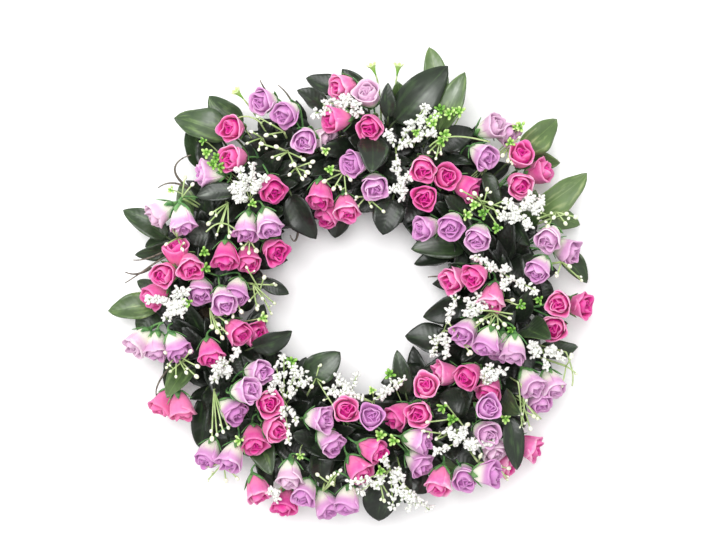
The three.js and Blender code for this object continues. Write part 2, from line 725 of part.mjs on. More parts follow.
// A closed skin over loops of points that turn the same way. An end is closed by a point, or flat where
// none is given.
function skinOver(loops, startPoint, endPoint) {
  const firsts = loops.map((_, i) => loops.slice(0, i).reduce((sum, loop) => sum + loop.length, 0));
  const points = loops.flat();
  const faces = [];
  for (let i = 0; i + 1 < loops.length; i += 1) {
    faces.push(...bandBetween(firsts[i], loops[i].length, firsts[i + 1], loops[i + 1].length));
  }
  const closeEnd = (first, sides, point, turned) => {
    const ring = Array.from({ length: sides }, (_, k) => first + k);
    if (turned) ring.reverse();
    if (point) {
      const tip = points.push(point) - 1;
      for (let k = 0; k < sides; k += 1) faces.push(ring[(k + 1) % sides], ring[k], tip);
    } else {
      for (let k = 1; k + 1 < sides; k += 1) faces.push(ring[0], ring[k + 1], ring[k]);
    }
  };
  closeEnd(0, loops[0].length, startPoint, false);
  closeEnd(firsts[loops.length - 1], loops[loops.length - 1].length, endPoint, true);
  const geometry = new THREE.BufferGeometry();
  const positions = faces.flatMap((index) => points[index].toArray());
  geometry.setAttribute("position", new THREE.Float32BufferAttribute(positions, 3));
  return geometry;
}

// A direction to measure a loop's first point from: never along the loop's own axis.
const STEEP = 0.9;

function besides(forward) {
  return Math.abs(forward.z) > STEEP ? new THREE.Vector3(1, 0, 0) : UP;
}

// A straight-sided rod along a line of points, with a radius at each.
function rod(line, radii, sides = 3) {
  const loops = line.map((point, i) => {
    const before = line[Math.max(0, i - 1)];
    const after = line[Math.min(line.length - 1, i + 1)];
    const forward = after.clone().sub(before).normalize();
    const across = forward.clone().cross(besides(forward)).normalize();
    const over = across.clone().cross(forward);
    return Array.from({ length: sides }, (_, k) => {
      const angle = (2 * Math.PI * k) / sides;
      return point
        .clone()
        .addScaledVector(across, radii[i] * Math.cos(angle))
        .addScaledVector(over, -radii[i] * Math.sin(angle));
    });
  });
  return solidOf(skinOver(loops));
}

// The vine: a bundle of stems twisted together, as lobes that wind round the section.
const VINE_PARTS = 36;
const VINE_POINTS = 12;
const VINE_LOBES = 4;
const VINE_WINDINGS = 5;
const LOBE_DEPTH = 0.07;

function vineRing() {
  const loops = Array.from({ length: VINE_PARTS }, (_, i) => {
    const turn = (360 * i) / VINE_PARTS;
    return Array.from({ length: VINE_POINTS }, (_, k) => {
      const angle = (360 * k) / VINE_POINTS;
      const lobe = 1 - LOBE_DEPTH + LOBE_DEPTH * Math.cos(radians(VINE_LOBES * angle + VINE_WINDINGS * turn));
      const height = VINE_HEIGHT + VINE_HALF_HEIGHT * lobe * Math.sin(radians(angle));
      const out = VINE_HALF_WIDTH * lobe * Math.cos(radians(angle));
      return roundRing(turn, out, height < VINE_SETTLED ? 0 : height);
    });
  });
  const positions = [];
  for (let i = 0; i < VINE_PARTS; i += 1) {
    const here = loops[i];
    const there = loops[(i + 1) % VINE_PARTS];
    for (let k = 0; k < VINE_POINTS; k += 1) {
      const next = (k + 1) % VINE_POINTS;
      for (const point of [here[k], there[next], here[next], here[k], there[k], there[next]]) {
        positions.push(...point.toArray());
      }
    }
  }
  const geometry = new THREE.BufferGeometry();
  geometry.setAttribute("position", new THREE.Float32BufferAttribute(positions, 3));
  return geometry;
}

// A rosebud: three outer petals, each tucked under the next, round three inner petals that stand higher.
// A petal is the angle, reach and rise of its tucked edge and of its free edge.
const OUTER_PETAL = [
  [0, 0.93, -0.03],
  [70, 1.07, 0.03],
];
const BUD_RINGS = [
  { along: 0.8, wide: 1, petals: 1, turn: 0, peak: 1 },
  { along: 0.66, wide: 0.66, petals: 0.5, turn: 20, peak: 0 },
  { along: 0.95, wide: 0.48, petals: 1, turn: 60, peak: 0.8 },
];
const HEART_DEPTH = 0.78;
const CALYX_RADIUS = 6.5;
const CALYX_PLACE = 0.14;

// A bud and its stem are one skin. The roots are the points and radii that the stem starts through.
function rosebud({ base, axis, spin }, roots) {
  const across = axis.clone().cross(besides(axis)).normalize();
  const onBud = (along) => base.clone().addScaledVector(axis, BUD_LENGTH * along);
  const loopPoint = (centre, forward, radius, angle) => {
    const side = across.clone().addScaledVector(forward, -across.dot(forward)).normalize();
    const over = forward.clone().cross(side);
    return centre
      .clone()
      .addScaledVector(side, radius * Math.cos(radians(angle + spin)))
      .addScaledVector(over, radius * Math.sin(radians(angle + spin)));
  };
  const stemLoop = (centre, forward, radius) =>
    [60, 180, 300].map((angle) => loopPoint(centre, forward, radius, angle));
  const neck = onBud(0).addScaledVector(axis, -NECK);
  const bend = neck.clone().sub(roots[roots.length - 1][0]).normalize();
  const petals = BUD_RINGS.map(({ along, wide, petals: depth, turn, peak }) =>
    [0, 120, 240].flatMap((third) =>
      OUTER_PETAL.map(([angle, reach, rise]) => {
        const radius = BUD_RADIUS * wide * (1 + (reach - 1) * depth);
        return loopPoint(onBud(along + rise * peak), axis, radius, third + angle + turn);
      }),
    ),
  );
  const loops = [
    ...roots.map(([point, radius]) => stemLoop(point, bend, radius)),
    stemLoop(neck, bend.clone().add(axis).normalize(), STEM_RADIUS),
    stemLoop(onBud(CALYX_PLACE), axis, CALYX_RADIUS),
    ...petals,
  ];
  return solidOf(skinOver(loops, undefined, onBud(HEART_DEPTH)));
}

// A leaf's solid: four-sided loops from the root along the stalk, then along the blade. The stalk's loops lie
// square to it, and to its bend at the blade's base, so it keeps its thickness where it turns back on itself.
const BLADE_PLACES = [0.22, 0.58];

function leafSolid({ root, blade }) {
  const { normal, side, base, tip } = blade;
  const rising = base.clone().sub(root).normalize();
  const bending = tip.clone().sub(base).normalize().add(rising).normalize();
  const thinLoop = (point, forward, half) => {
    const across = side.clone().addScaledVector(forward, -side.dot(forward)).normalize();
    const over = across.clone().cross(forward);
    return [
      point.clone().addScaledVector(across, half),
      point.clone().addScaledVector(over, -half),
      point.clone().addScaledVector(across, -half),
      point.clone().addScaledVector(over, half),
    ];
  };
  const bladeLoop = (share) => [
    blade.edge(share, 1),
    blade.midrib(share).addScaledVector(normal, -LEAF_THICKNESS),
    blade.edge(share, -1),
    blade.midrib(share),
  ];
  const stalk = [thinLoop(root, rising, ROOT_HALF_WIDTH), thinLoop(base, bending, PETIOLE_HALF_WIDTH)];
  const loops = [...stalk, ...BLADE_PLACES.map(bladeLoop)];
  return solidOf(skinOver(loops, undefined, tip.clone()));
}

function pointAt(line, share) {
  const at = share * (line.length - 1);
  const first = Math.min(line.length - 2, Math.floor(at));
  return line[first].clone().lerp(line[first + 1], at - first);
}

// A stalk that swells to a floret or berry at each given share of its length.
const STALK_RADIUS = 0.8;
const SWELL_START = 1.1; // radii before a swelling at which the stalk begins to widen
const SWELL_END = 0.9; // radii past the last one at which it closes
const END_SHARE = 0.6; // of the stalk's radius, at that end

function swellingRod(line, shares, radius) {
  const length = line.slice(1).reduce((sum, point, i) => sum + point.distanceTo(line[i]), 0);
  const stops = [[0, STALK_RADIUS]];
  for (const share of shares) {
    const neck = share - (SWELL_START * radius) / length;
    stops.push([neck, STALK_RADIUS], [share, radius]);
  }
  stops.push([1 + (SWELL_END * radius) / length, STALK_RADIUS * END_SHARE]);
  return rod(stops.map(([share]) => pointAt(line, share)), stops.map(([, width]) => width));
}

const SMALLEST_EDGE = 0.3;

// Joins a bunch's or spray's own pieces into one body, and drops a scrap that hangs loose.
function fuse(solids) {
  const whole = wasm.Manifold.union(solids);
  const bodies = whole.simplify(SMALLEST_EDGE).decompose();
  return bodies.reduce((most, body) => (body.volume() > most.volume() ? body : most));
}

// The wreath

const vine = new THREE.Mesh(vineRing());
vine.updateMatrixWorld(true);
const seeker = new THREE.Raycaster();
const WITHIN_VINE = -10; // a clearance that lies well inside the vine

// Where a stem that comes down to the vine stops, just clear of the vine's skin.
function seatOn({ turn, elevation }) {
  const above = fromVine(turn, elevation, HUB_CLEARANCE);
  const inward = fromVine(turn, elevation, WITHIN_VINE).sub(above).normalize();
  seeker.set(above, inward);
  const [hit] = seeker.intersectObject(vine);
  return above.addScaledVector(inward, hit.distance - SEAT_GAP);
}

const SEAT_TIP = 0.5;
const HUB_RADIUS = 2.4; // a stem is this thick where others grow from it, and holds their roots

// A stem through given points that swells at its last one, where it forks.
function forkedStem(line, radii) {
  const [before, fork] = line.slice(-2);
  const ahead = fork.clone().addScaledVector(fork.clone().sub(before).normalize(), HUB_RADIUS);
  return rod([...line, ahead], [...radii, HUB_RADIUS, STALK_RADIUS]);
}

const MATERIALS = {
  vine: new THREE.MeshStandardMaterial({ color: 0x6b5238, roughness: 0.9, metalness: 0 }),
  pink: new THREE.MeshStandardMaterial({ color: 0xe8479a, roughness: 0.75, metalness: 0 }),
  lavender: new THREE.MeshStandardMaterial({ color: 0xd39be0, roughness: 0.75, metalness: 0 }),
  leaf: new THREE.MeshStandardMaterial({ color: 0x35492f, roughness: 0.45, metalness: 0 }),
  white: new THREE.MeshStandardMaterial({ color: 0xf4f4ee, roughness: 0.9, metalness: 0 }),
};

const wreath = new THREE.Group();

function addNode(name, geometry, material) {
  const mesh = new THREE.Mesh(geometry, material);
  mesh.name = name;
  wreath.add(mesh);
}

const numbered = (name, number) => `${name}_${String(number).padStart(2, "0")}`;

addNode("vine_ring", vine.geometry, MATERIALS.vine);

const counts = { [PINK]: 0, [LAVENDER]: 0 };
for (const bunch of bunches) {
  counts[bunch.colour] += 1;
  const foot = [seatOn(bunch), SEAT_TIP];
  const solids = bunch.buds.map((bud, i) =>
    rosebud(bud, i === 0 ? [foot, [bunch.hub, HUB_RADIUS]] : [[bunch.hub, STEM_RADIUS]]),
  );
  const name = numbered(`rosebuds_${bunch.colour}`, counts[bunch.colour]);
  addNode(name, geometryOf(fuse(solids)), MATERIALS[bunch.colour]);
}

sprays.forEach((spray, i) => {
  const stem = [seatOn(spray), spray.hub, spray.forkPoint];
  const solids = [forkedStem(stem, [SEAT_TIP, STEM_RADIUS])];
  for (const line of spray.branches) {
    solids.push(swellingRod(line, FLORET_PLACES, FLORET_RADIUS));
  }
  addNode(numbered("gypsophila", i + 1), geometryOf(fuse(solids)), MATERIALS.white);
});

for (const stem of leafyStems) {
  const line = stem.elevation === INNER_ELEVATION ? stem.line.toReversed() : stem.line;
  const solids = [rod(line, line.map(() => SPINE_RADIUS))]; // a flat side faces the vine
  for (const leaf of stem.leaves) solids.push(leafSolid(leaf));
  for (const { line, stalks } of stem.sprigs) {
    solids.push(forkedStem(line, [ROOT_HALF_WIDTH]));
    for (const stalk of stalks) {
      solids.push(swellingRod(stalk, [1], BERRY_RADIUS));
    }
  }
  addNode(stem.name, geometryOf(fuse(solids)), MATERIALS.leaf);
}

export default wreath;
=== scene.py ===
# An artificial floral wreath, lying on its back: a ring of twisted vine with leafy stems, bunches of pink
# and lavender rosebuds, white gypsophila and pale green berry sprigs. Lengths are millimetres, and become
# metres where a mesh is made.

import math

import bpy
import numpy as np
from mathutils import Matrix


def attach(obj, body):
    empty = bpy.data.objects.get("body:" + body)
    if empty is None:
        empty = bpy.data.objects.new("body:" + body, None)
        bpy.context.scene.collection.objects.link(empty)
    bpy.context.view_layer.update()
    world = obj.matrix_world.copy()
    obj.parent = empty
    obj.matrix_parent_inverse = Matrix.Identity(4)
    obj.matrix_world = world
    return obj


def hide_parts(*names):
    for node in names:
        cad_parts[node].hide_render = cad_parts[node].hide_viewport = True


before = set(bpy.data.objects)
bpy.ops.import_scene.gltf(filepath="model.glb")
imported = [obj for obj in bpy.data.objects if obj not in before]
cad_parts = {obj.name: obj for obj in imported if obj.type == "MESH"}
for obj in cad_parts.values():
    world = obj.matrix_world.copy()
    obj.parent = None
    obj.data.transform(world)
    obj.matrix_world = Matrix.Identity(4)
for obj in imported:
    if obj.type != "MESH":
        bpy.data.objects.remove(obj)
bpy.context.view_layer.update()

# Camera
# It looks straight down on the wreath from far away, as the photo does. Places in the wreath are given as
# pixels of this view, 712 wide and 560 high, with a height above the floor.
MM = 0.001
PIXEL = 0.9
VIEW_DISTANCE = 1500.0
VIEW_LEVEL = 60.0  # the height at which a pixel is PIXEL wide
VIEW_SIZE = np.array([712.0, 560.0])
VIEW_CENTRE = VIEW_SIZE / 2
ORIGIN_PIXEL = np.array([349.4, 284.0])
SENSOR_WIDTH = 36.0
EYE = (VIEW_CENTRE - ORIGIN_PIXEL) * PIXEL * [1, -1]

camera_data = bpy.data.cameras.new("camera")
camera_data.sensor_width = SENSOR_WIDTH
camera_data.lens = SENSOR_WIDTH * (VIEW_DISTANCE - VIEW_LEVEL) / (VIEW_SIZE[0] * PIXEL)
camera = bpy.data.objects.new("camera", camera_data)
camera.location = (EYE[0] * MM, EYE[1] * MM, VIEW_DISTANCE * MM)
bpy.context.scene.collection.objects.link(camera)
bpy.context.scene.camera = camera


def place(pixels, heights):
    """Points that pixels of the front view show at given heights: the sight line's place at each height."""
    pixels = np.asarray(pixels, float)
    heights = np.broadcast_to(np.asarray(heights, float), pixels.shape[:-1])
    scale = PIXEL * (VIEW_DISTANCE - heights) / (VIEW_DISTANCE - VIEW_LEVEL)
    flat = EYE + (pixels - VIEW_CENTRE) * [1, -1] * scale[..., None]
    return np.concatenate([flat, heights[..., None]], axis=-1)


# Floor and light
# A plain pale floor under soft studio light: a wide lamp over the wreath's top and a bright room.
FLOOR_HALF = 4.0  # metres, as are the lamp's size and place
LAMP_SIZE = 1.6
LAMP_PLACE = (-0.3, 0.5, 1.8)
LAMP_POWER = 34.0
ROOM_LIGHT = 0.85


def linear(code):
    """A colour's red, green and blue as light, from its web code, with an alpha of 1."""
    shares = np.array([int(code[i : i + 2], 16) for i in (1, 3, 5)]) / 255
    light = np.where(shares <= 0.04045, shares / 12.92, ((shares + 0.055) / 1.055) ** 2.4)
    return (*light, 1.0)


def plain_material(name, roughness, colour="#808080"):
    """A new material of one colour and roughness, with its node tree and its shader."""
    material = bpy.data.materials.new(name)
    material.use_nodes = True
    shader = material.node_tree.nodes["Principled BSDF"]
    shader.inputs["Base Color"].default_value = linear(colour)
    shader.inputs["Roughness"].default_value = roughness
    return material, material.node_tree, shader


floor_material, _, _ = plain_material("floor", 0.9, "#FFFFFF")
floor_mesh = bpy.data.meshes.new("floor")
floor_corners = [(x * FLOOR_HALF, y * FLOOR_HALF, 0) for x, y in ((-1, -1), (1, -1), (1, 1), (-1, 1))]
floor_mesh.from_pydata(floor_corners, [], [(0, 1, 2, 3)])
floor_mesh.materials.append(floor_material)
floor = bpy.data.objects.new("floor", floor_mesh)
bpy.context.scene.collection.objects.link(floor)

lamp_data = bpy.data.lights.new("lamp", "AREA")
lamp_data.shape = "DISK"
lamp_data.size = LAMP_SIZE
lamp_data.energy = LAMP_POWER
lamp = bpy.data.objects.new("lamp", lamp_data)
lamp.location = LAMP_PLACE
to_centre = -np.array(LAMP_PLACE)
lamp.rotation_euler = (
    math.atan2(math.hypot(to_centre[0], to_centre[1]), -to_centre[2]),
    0,
    math.atan2(to_centre[1], to_centre[0]) - math.pi / 2,
)
bpy.context.scene.collection.objects.link(lamp)

world = bpy.data.worlds.new("room")
world.use_nodes = True
world.node_tree.nodes["Background"].inputs["Color"].default_value = (1, 1, 1, 1)
world.node_tree.nodes["Background"].inputs["Strength"].default_value = ROOM_LIGHT
bpy.context.scene.world = world
bpy.context.scene.view_settings.view_transform = "Standard"

# Vine ring
# The base that carries everything: a bundle of dry brown vine stems wound round each other in a ring.
# It is wood with bark, pressed together by its own twist, and it lies flat on its underside.
RING_PIXEL = (357, 298)
RING_RADIUS = 135.0
VINE_HALF_WIDTH = 17.0
VINE_HALF_HEIGHT = 13.5
VINE_HEIGHT = 12.5
STRANDS = 11
OUTER_STRANDS = 8  # the others wind inside them
INNER_LANE = 0.35  # how far out those lie, as a share
STRAND_RADIUS = 4.6
STRAND_WINDINGS = 4
STRAND_SWELLINGS = 7
STRAND_SWELLING = 0.08  # share of its radius
STRAND_PARTS = 240
STRAND_SIDES = 10
BARK_COLOURS = ((0.3, "#1E160F"), (0.72, "#544331"))
RING_CENTRE = place(RING_PIXEL, VINE_HEIGHT)[:2]


def round_ring(turn, out, height):
    """Points by their turn round the ring in degrees, distance outward of its centreline, and height."""
    turn, out, height = np.broadcast_arrays(np.radians(turn), out, height)
    reach = RING_RADIUS + out
    flat = RING_CENTRE + np.stack([reach * np.cos(turn), reach * np.sin(turn)], axis=-1)
    return np.concatenate([flat, height[..., None]], axis=-1)


def unit(vectors):
    """The vectors at length 1."""
    return vectors / np.maximum(np.linalg.norm(vectors, axis=-1, keepdims=True), 1e-9)


def grid_quads(rows, columns, around=False):
    """Corner numbers of the quads of a grid, whose columns may close round on themselves."""
    steps = columns if around else columns - 1
    row, column = np.meshgrid(np.arange(rows - 1), np.arange(steps), indexing="ij")
    start, ahead = row * columns + column, row * columns + (column + 1) % columns
    return np.stack([start, ahead, ahead + columns, start + columns], axis=-1).reshape(-1, 4)


def repeated(faces, copies, points_each):
    """The faces of one shape, numbered on for each of its copies."""
    shift = np.arange(copies)[:, None, None] * points_each
    return (faces[None] + shift).reshape(-1, faces.shape[1])


def tubes(paths, radii, sides, closed=False):
    """A part of round tubes along paths (tube, point, xyz): at each point a circle square to the path, side
    times cosine plus over times sine. Open tubes get flat ends. Each radius may differ."""
    count, length = paths.shape[:2]
    if closed:
        ahead, behind = np.roll(paths, -1, axis=1), np.roll(paths, 1, axis=1)
    else:
        ahead = np.concatenate([paths[:, 1:], 2 * paths[:, -1:] - paths[:, -2:-1]], axis=1)
        behind = np.concatenate([2 * paths[:, :1] - paths[:, 1:2], paths[:, :-1]], axis=1)
    forward = unit(ahead - behind)
    steep = np.abs(unit(paths[:, -1] - paths[:, 0] + 1e-6)[:, 2]) > 0.8
    helper = np.where(steep[:, None], [1.0, 0.0, 0.0], [0.0, 0.0, 1.0])[:, None]
    side = unit(np.cross(forward, helper))
    over = np.cross(forward, side)
    angle = np.arange(sides) * 2 * np.pi / sides
    circle = np.cos(angle)[:, None] * side[:, :, None] + np.sin(angle)[:, None] * over[:, :, None]
    radii = np.broadcast_to(radii, (count, length))[:, :, None, None]
    points = paths[:, :, None] + radii * circle
    size = length * sides
    if closed:
        shapes = [grid_quads(length + 1, sides, around=True) % size]
    else:
        fan = np.stack([np.zeros(sides - 2, int), np.arange(1, sides - 1), np.arange(2, sides)], axis=-1)
        shapes = [grid_quads(length, sides, around=True), np.concatenate([fan[:, ::-1], fan + size - sides])]
    return points.reshape(-1, 3), [repeated(shape, count, size) for shape in shapes], {}


def joined(parts):
    """Several parts as one: their points, arrays of face corners, and the values that any of them holds."""
    firsts = np.cumsum([0] + [len(points) for points, _, _ in parts])
    faces = [array + first for (_, arrays, _), first in zip(parts, firsts) for array in arrays]
    held = {}
    for name in sorted({name for _, _, values in parts for name in values}):
        held[name] = np.concatenate([values.get(name, np.zeros(len(points))) for points, _, values in parts])
    return np.concatenate([points for points, _, _ in parts]), faces, held


def make_piece(name, parts, material, slot, *stands_for):
    """One smooth mesh object of parts, each its points, arrays of face corners and values at its points.
    It rides with the wreath, takes the material that it is given, and stands for the nodes that are named.
    The slot is not used."""
    points, faces, held = joined(parts)
    sizes = np.concatenate([np.full(len(array), array.shape[1]) for array in faces])
    corners = np.concatenate([array.ravel() for array in faces])
    mesh = bpy.data.meshes.new(name)
    mesh.vertices.add(len(points))
    mesh.vertices.foreach_set("co", points.ravel() * MM)
    mesh.loops.add(len(corners))
    mesh.loops.foreach_set("vertex_index", corners)
    mesh.polygons.add(len(sizes))
    mesh.polygons.foreach_set("loop_start", np.concatenate([[0], np.cumsum(sizes)[:-1]]))
    for value, at_points in held.items():
        mesh.attributes.new(value, "FLOAT", "POINT").data.foreach_set("value", at_points)
    mesh.update(calc_edges=True)
    mesh.shade_smooth()
    mesh.materials.append(material)
    made = bpy.data.objects.new(name, mesh)
    bpy.context.scene.collection.objects.link(made)
    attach(made, "root")
    if stands_for:
        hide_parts(*stands_for)


def add_node(tree, kind, links=(), **settings):
    """A new shader node with its settings, and with links into its sockets as (socket, output)."""
    node = tree.nodes.new(kind)
    for key, value in settings.items():
        if key[0].isupper():
            node.inputs[key.replace("_", " ")].default_value = value
        else:
            setattr(node, key, value)
    for socket, output in links:
        tree.links.new(output, node.inputs[socket])
    return node


def colour_ramp(tree, factor, *stops):
    """The colour output of a ramp over stops of (place, web code)."""
    ramp = add_node(tree, "ShaderNodeValToRGB", [("Fac", factor)])
    elements = ramp.color_ramp.elements
    while len(elements) < len(stops):
        elements.new(0.5)
    for element, (position, code) in zip(elements, stops):
        element.position = position
        element.color = linear(code)
    return ramp.outputs["Color"]


def grain(tree, scale, detail):
    """The factor output of noise on Object coordinates."""
    coordinates = add_node(tree, "ShaderNodeTexCoord").outputs["Object"]
    noise = add_node(tree, "ShaderNodeTexNoise", [("Vector", coordinates)], Scale=scale, Detail=detail)
    return noise.outputs["Fac"]


def add_bump(tree, shader, height, strength, distance):
    """Gives the shader a bump from a height output; the distance is in metres."""
    bump = add_node(tree, "ShaderNodeBump", [("Height", height)], Strength=strength, Distance=distance)
    tree.links.new(bump.outputs["Normal"], shader.inputs["Normal"])


def grained(name, roughness, colours, spots, pores, strength, depth):
    """A material mottled between colours by noise, with a bump of finer noise, each given as scale and
    detail. The bump's depth is in metres."""
    material, tree, shader = plain_material(name, roughness)
    tree.links.new(colour_ramp(tree, grain(tree, *spots), *colours), shader.inputs["Base Color"])
    add_bump(tree, shader, grain(tree, *pores), strength, depth)
    return material


bark = grained("bark", 0.85, BARK_COLOURS, spots=(420, 4), pores=(420, 4), strength=0.6, depth=0.0012)

strand = np.arange(STRANDS)[:, None]
turn = np.arange(STRAND_PARTS)[None] * 360 / STRAND_PARTS
swelling = 1 + STRAND_SWELLING * np.sin(np.radians(turn * STRAND_SWELLINGS + strand * 50))
strand_radius = STRAND_RADIUS * (0.85 + 0.2 * np.sin(strand * 2.4)) * swelling
outside = strand < OUTER_STRANDS
lane = np.where(outside, 1.0, INNER_LANE)
apart = np.where(outside, 360 / OUTER_STRANDS, 360 / (STRANDS - OUTER_STRANDS))
phase = np.radians(turn * STRAND_WINDINGS + strand * apart)
out = lane * (VINE_HALF_WIDTH - strand_radius) * np.cos(phase)
height = VINE_HEIGHT + lane * (VINE_HALF_HEIGHT - strand_radius) * np.sin(phase)
strand_paths = round_ring(turn, out, np.maximum(height, strand_radius * 0.9))
points, faces, _ = tubes(strand_paths, strand_radius, STRAND_SIDES, closed=True)
points[:, 2] = np.maximum(points[:, 2], 0)  # pressed flat on the floor
make_piece("vine_stems", [(points, faces, {})], bark, "vine", "vine_ring")

# Leafy stems
# Glossy dark green fabric leaves, stamped with veins and wired to stems that are bound along the vine's outer
# and inner sides. Each leaf has its own stalk. The leaves that a front view shows are placed by their pixels,
# and the others fill the body of the wreath as they do on the real one.
OUTER_STEMS = 6
INNER_STEMS = 4
SPINE_GAP = 3.0
SPINE_CLEARANCE = 1.5
LEAF_ARCH = 0.09
LEAF_FOLD = 0.22
LEAF_THICKNESS = 0.45
LEAF_SHIFTS = np.array([0, -4, 4, -8, 8, -12, 12, -16, 16, 20])
LEAF_ROLLS = (0, 14, -14, 28, -28)
LEAF_WIDTHS = (1, 0.72)
SAME_PLACE = 0.05  # how near a CAD corner lies to the place that it was made at
FILL_LEAVES = {"outer": 4, "inner": 3}
FILL_TRIES = 150
FILL_SEED = 20
FILL_REACH = (-56, 64)  # how far in and out of the ring's centreline their tips may come
FILL_ENDS = 2  # degrees kept free at each end of a stem
FILL_RISES = (-2, 75)  # on the outer side
FILL_SWEEP = 55
FILL_LENGTHS = (42, 56)
FILL_WIDTHS = (22, 29)
FILL_STALKS = (8, 26)
FILL_ROLL = 30
FILL_LIFT = 2
CAD_STATION = 0.58  # how far along its blade a CAD leaf has corners
VEINS = 7
VEIN_RIPPLE = 0.15
EDGE_WAVE = 0.13  # share of the half width, as is the sway
LEAF_SWAY = 0.10
STALK_WIRE = 1.0
STALK_AWAY = 0.4  # share of its way out that guides a stalk at its root
STALK_ALONG = 0.25  # share of the blade's length that guides it in line with the blade
STALK_UNDER = 0.2  # share of that by which it runs on under the blade
SPINE_WIRE = 1.5
# Painted sheen: a grey-white reflection painted on some leaves, falling off so far round its place.
SHEEN_SPREAD = (0.17, 0.5)  # along and across
SHEEN_GREY = "#9DA39B"
NO_SHEEN = (0.0, 0.0, 0.0)
# How light a leaf that grows by rule is painted: painted shade keeps it dark within the wreath, and painted
# light makes it olive at the outer rim.
TONE_SHADED = 0.12
TONE_LIT = 0.62
LIT_FROM = 10.0  # a leaf that grows by rule is lighter where its tip lies further outside the ring
LIT_OVER = 55.0
# The leaf satin, from near black for painted shade to pale olive for painted light.
LEAF_SHADED_TO_LIT = ((0.0, "#0E120D"), (0.25, "#1E281C"), (0.5, "#354A2B"), (0.75, "#647E48"), (1.0, "#A2AF78"))
MOTTLING = 0.30
RIB_HALF_WIDTH = 0.04  # share of the half width
RIB_LIGHT = 0.10
# Painted sheen: how much lighter the streaks are, where the satin would catch the light.
STREAK_SHEEN = 0.26

# A leaf in the front view: tip pixel, pixel of the blade's base, width, heights of tip and base, and how
# light it is painted: its own colour with painted light on lit outer leaves and painted shade on those
# within the wreath.
SHOWN_LEAVES = [
    (429, 47, 441, 103, 22, 38, 40, 0.68),
    (448, 66, 394, 122, 36, 52, 46, 0.28),
    (465, 72, 439, 132, 23, 48, 42, 0.6),
    (388, 83, 388, 118, 14, 62, 50, 0.22),
    (342, 69, 367, 104, 20, 40, 36, 0.26),
    (306, 78, 345, 92, 20, 34, 36, 0.22),
    (297, 90, 327, 112, 20, 42, 36, 0.22),
    (174, 118, 231, 136, 34, 30, 34, 0.52),
    (209, 96, 241, 128, 26, 36, 34, 0.48),
    (211, 181, 211, 132, 26, 34, 30, 0.22),
    (187, 130, 200, 168, 20, 26, 24, 0.4),
    (123, 210, 168, 238, 22, 28, 30, 0.42),
    (145, 247, 178, 234, 17, 22, 24, 0.36),
    (135, 255, 172, 246, 15, 30, 32, 0.34),
    (137, 281, 168, 296, 16, 22, 26, 0.34),
    (108, 311, 160, 306, 25, 34, 30, 0.62),
    (138, 332, 158, 304, 24, 22, 20, 0.34),
    (170, 394, 180, 350, 26, 30, 34, 0.26),
    (200, 448, 205, 394, 24, 40, 44, 0.2),
    (220, 461, 233, 424, 28, 32, 38, 0.18),
    (271, 495, 257, 450, 20, 40, 40, 0.16),
    (292, 331, 252, 348, 22, 46, 44, 0.22),
    (289, 294, 262, 280, 13, 34, 36, 0.16),
    (316, 239, 291, 194, 28, 52, 52, 0.08),
    (335, 238, 340, 206, 25, 38, 38, 0.12),
    (383, 235, 393, 198, 28, 44, 44, 0.12),
    (411, 249, 466, 246, 26, 48, 46, 0.36),
    (414, 264, 450, 258, 16, 34, 36, 0.16),
    (423, 317, 470, 303, 25, 40, 40, 0.16),
    (405, 336, 449, 346, 30, 34, 36, 0.2),
    (397, 350, 406, 395, 17, 48, 42, 0.3),
    (340, 352, 306, 382, 28, 44, 44, 0.36),
    (306, 357, 299, 392, 20, 34, 36, 0.24),
    (379, 521, 382, 480, 33, 36, 38, 0.12),
    (322, 484, 317, 452, 26, 40, 36, 0.16),
    (335, 503, 331, 472, 24, 24, 28, 0.14),
    (430, 491, 400, 470, 26, 38, 42, 0.2),
    (517, 470, 508, 416, 20, 42, 46, 0.22),
    (524, 428, 508, 388, 20, 26, 32, 0.2),
    (578, 347, 540, 346, 20, 28, 32, 0.34),
    (587, 283, 560, 246, 19, 26, 28, 0.42),
    (587, 173, 533, 214, 30, 40, 40, 0.72),
    (580, 225, 540, 212, 20, 24, 28, 0.62),
    (557, 119, 520, 152, 29, 40, 40, 0.68),
    (560, 163, 524, 156, 18, 28, 28, 0.6),
    (530, 246, 506, 214, 24, 46, 48, 0.22),
    (508, 275, 538, 258, 20, 26, 26, 0.2),
    (499, 208, 484, 172, 15, 46, 46, 0.3),
    (196, 196, 236, 192, 24, 40, 44, 0.2),
    (184, 238, 218, 232, 26, 36, 42, 0.18),
    (438, 398, 472, 398, 26, 46, 48, 0.14),
    (378, 168, 384, 138, 22, 56, 50, 0.22),
]

# Leaves with a painted grey-white sheen, a painted reflection, by their tips: how strong it is, and how far
# along and across the blade its middle lies.
PAINTED_SHEENS = {
    (448, 66): (0.4, 0.55, 0.2), (465, 72): (0.7, 0.7, 0.0), (411, 249): (1.0, 0.75, 0.1),
    (340, 352): (0.5, 0.75, 0.1), (316, 239): (0.12, 0.3, 0.3), (306, 357): (0.3, 0.6, 0.2),
    (429, 47): (0.5, 0.7, 0.2), (174, 118): (0.35, 0.45, 0.3), (209, 96): (0.35, 0.5, -0.3),
    (196, 196): (0.8, 0.75, 0.0), (184, 238): (0.4, 0.6, 0.2), (405, 336): (0.3, 0.6, 0.2),
    (335, 238): (0.2, 0.5, 0.0), (430, 491): (0.35, 0.5, 0.0), (587, 173): (0.35, 0.6, 0.3),
}

# Leaves in the front view that only this model has, as above. The last two are dark leaves put where only
# shade shows between blooms: painted shade.
FREE_LEAVES = [
    (371, 173, 373, 137, 27, 84, 58, 0.24),
    (474, 130, 438, 148, 24, 38, 40, 0.14),
    (484, 467, 450, 446, 22, 28, 30, 0.12),
]


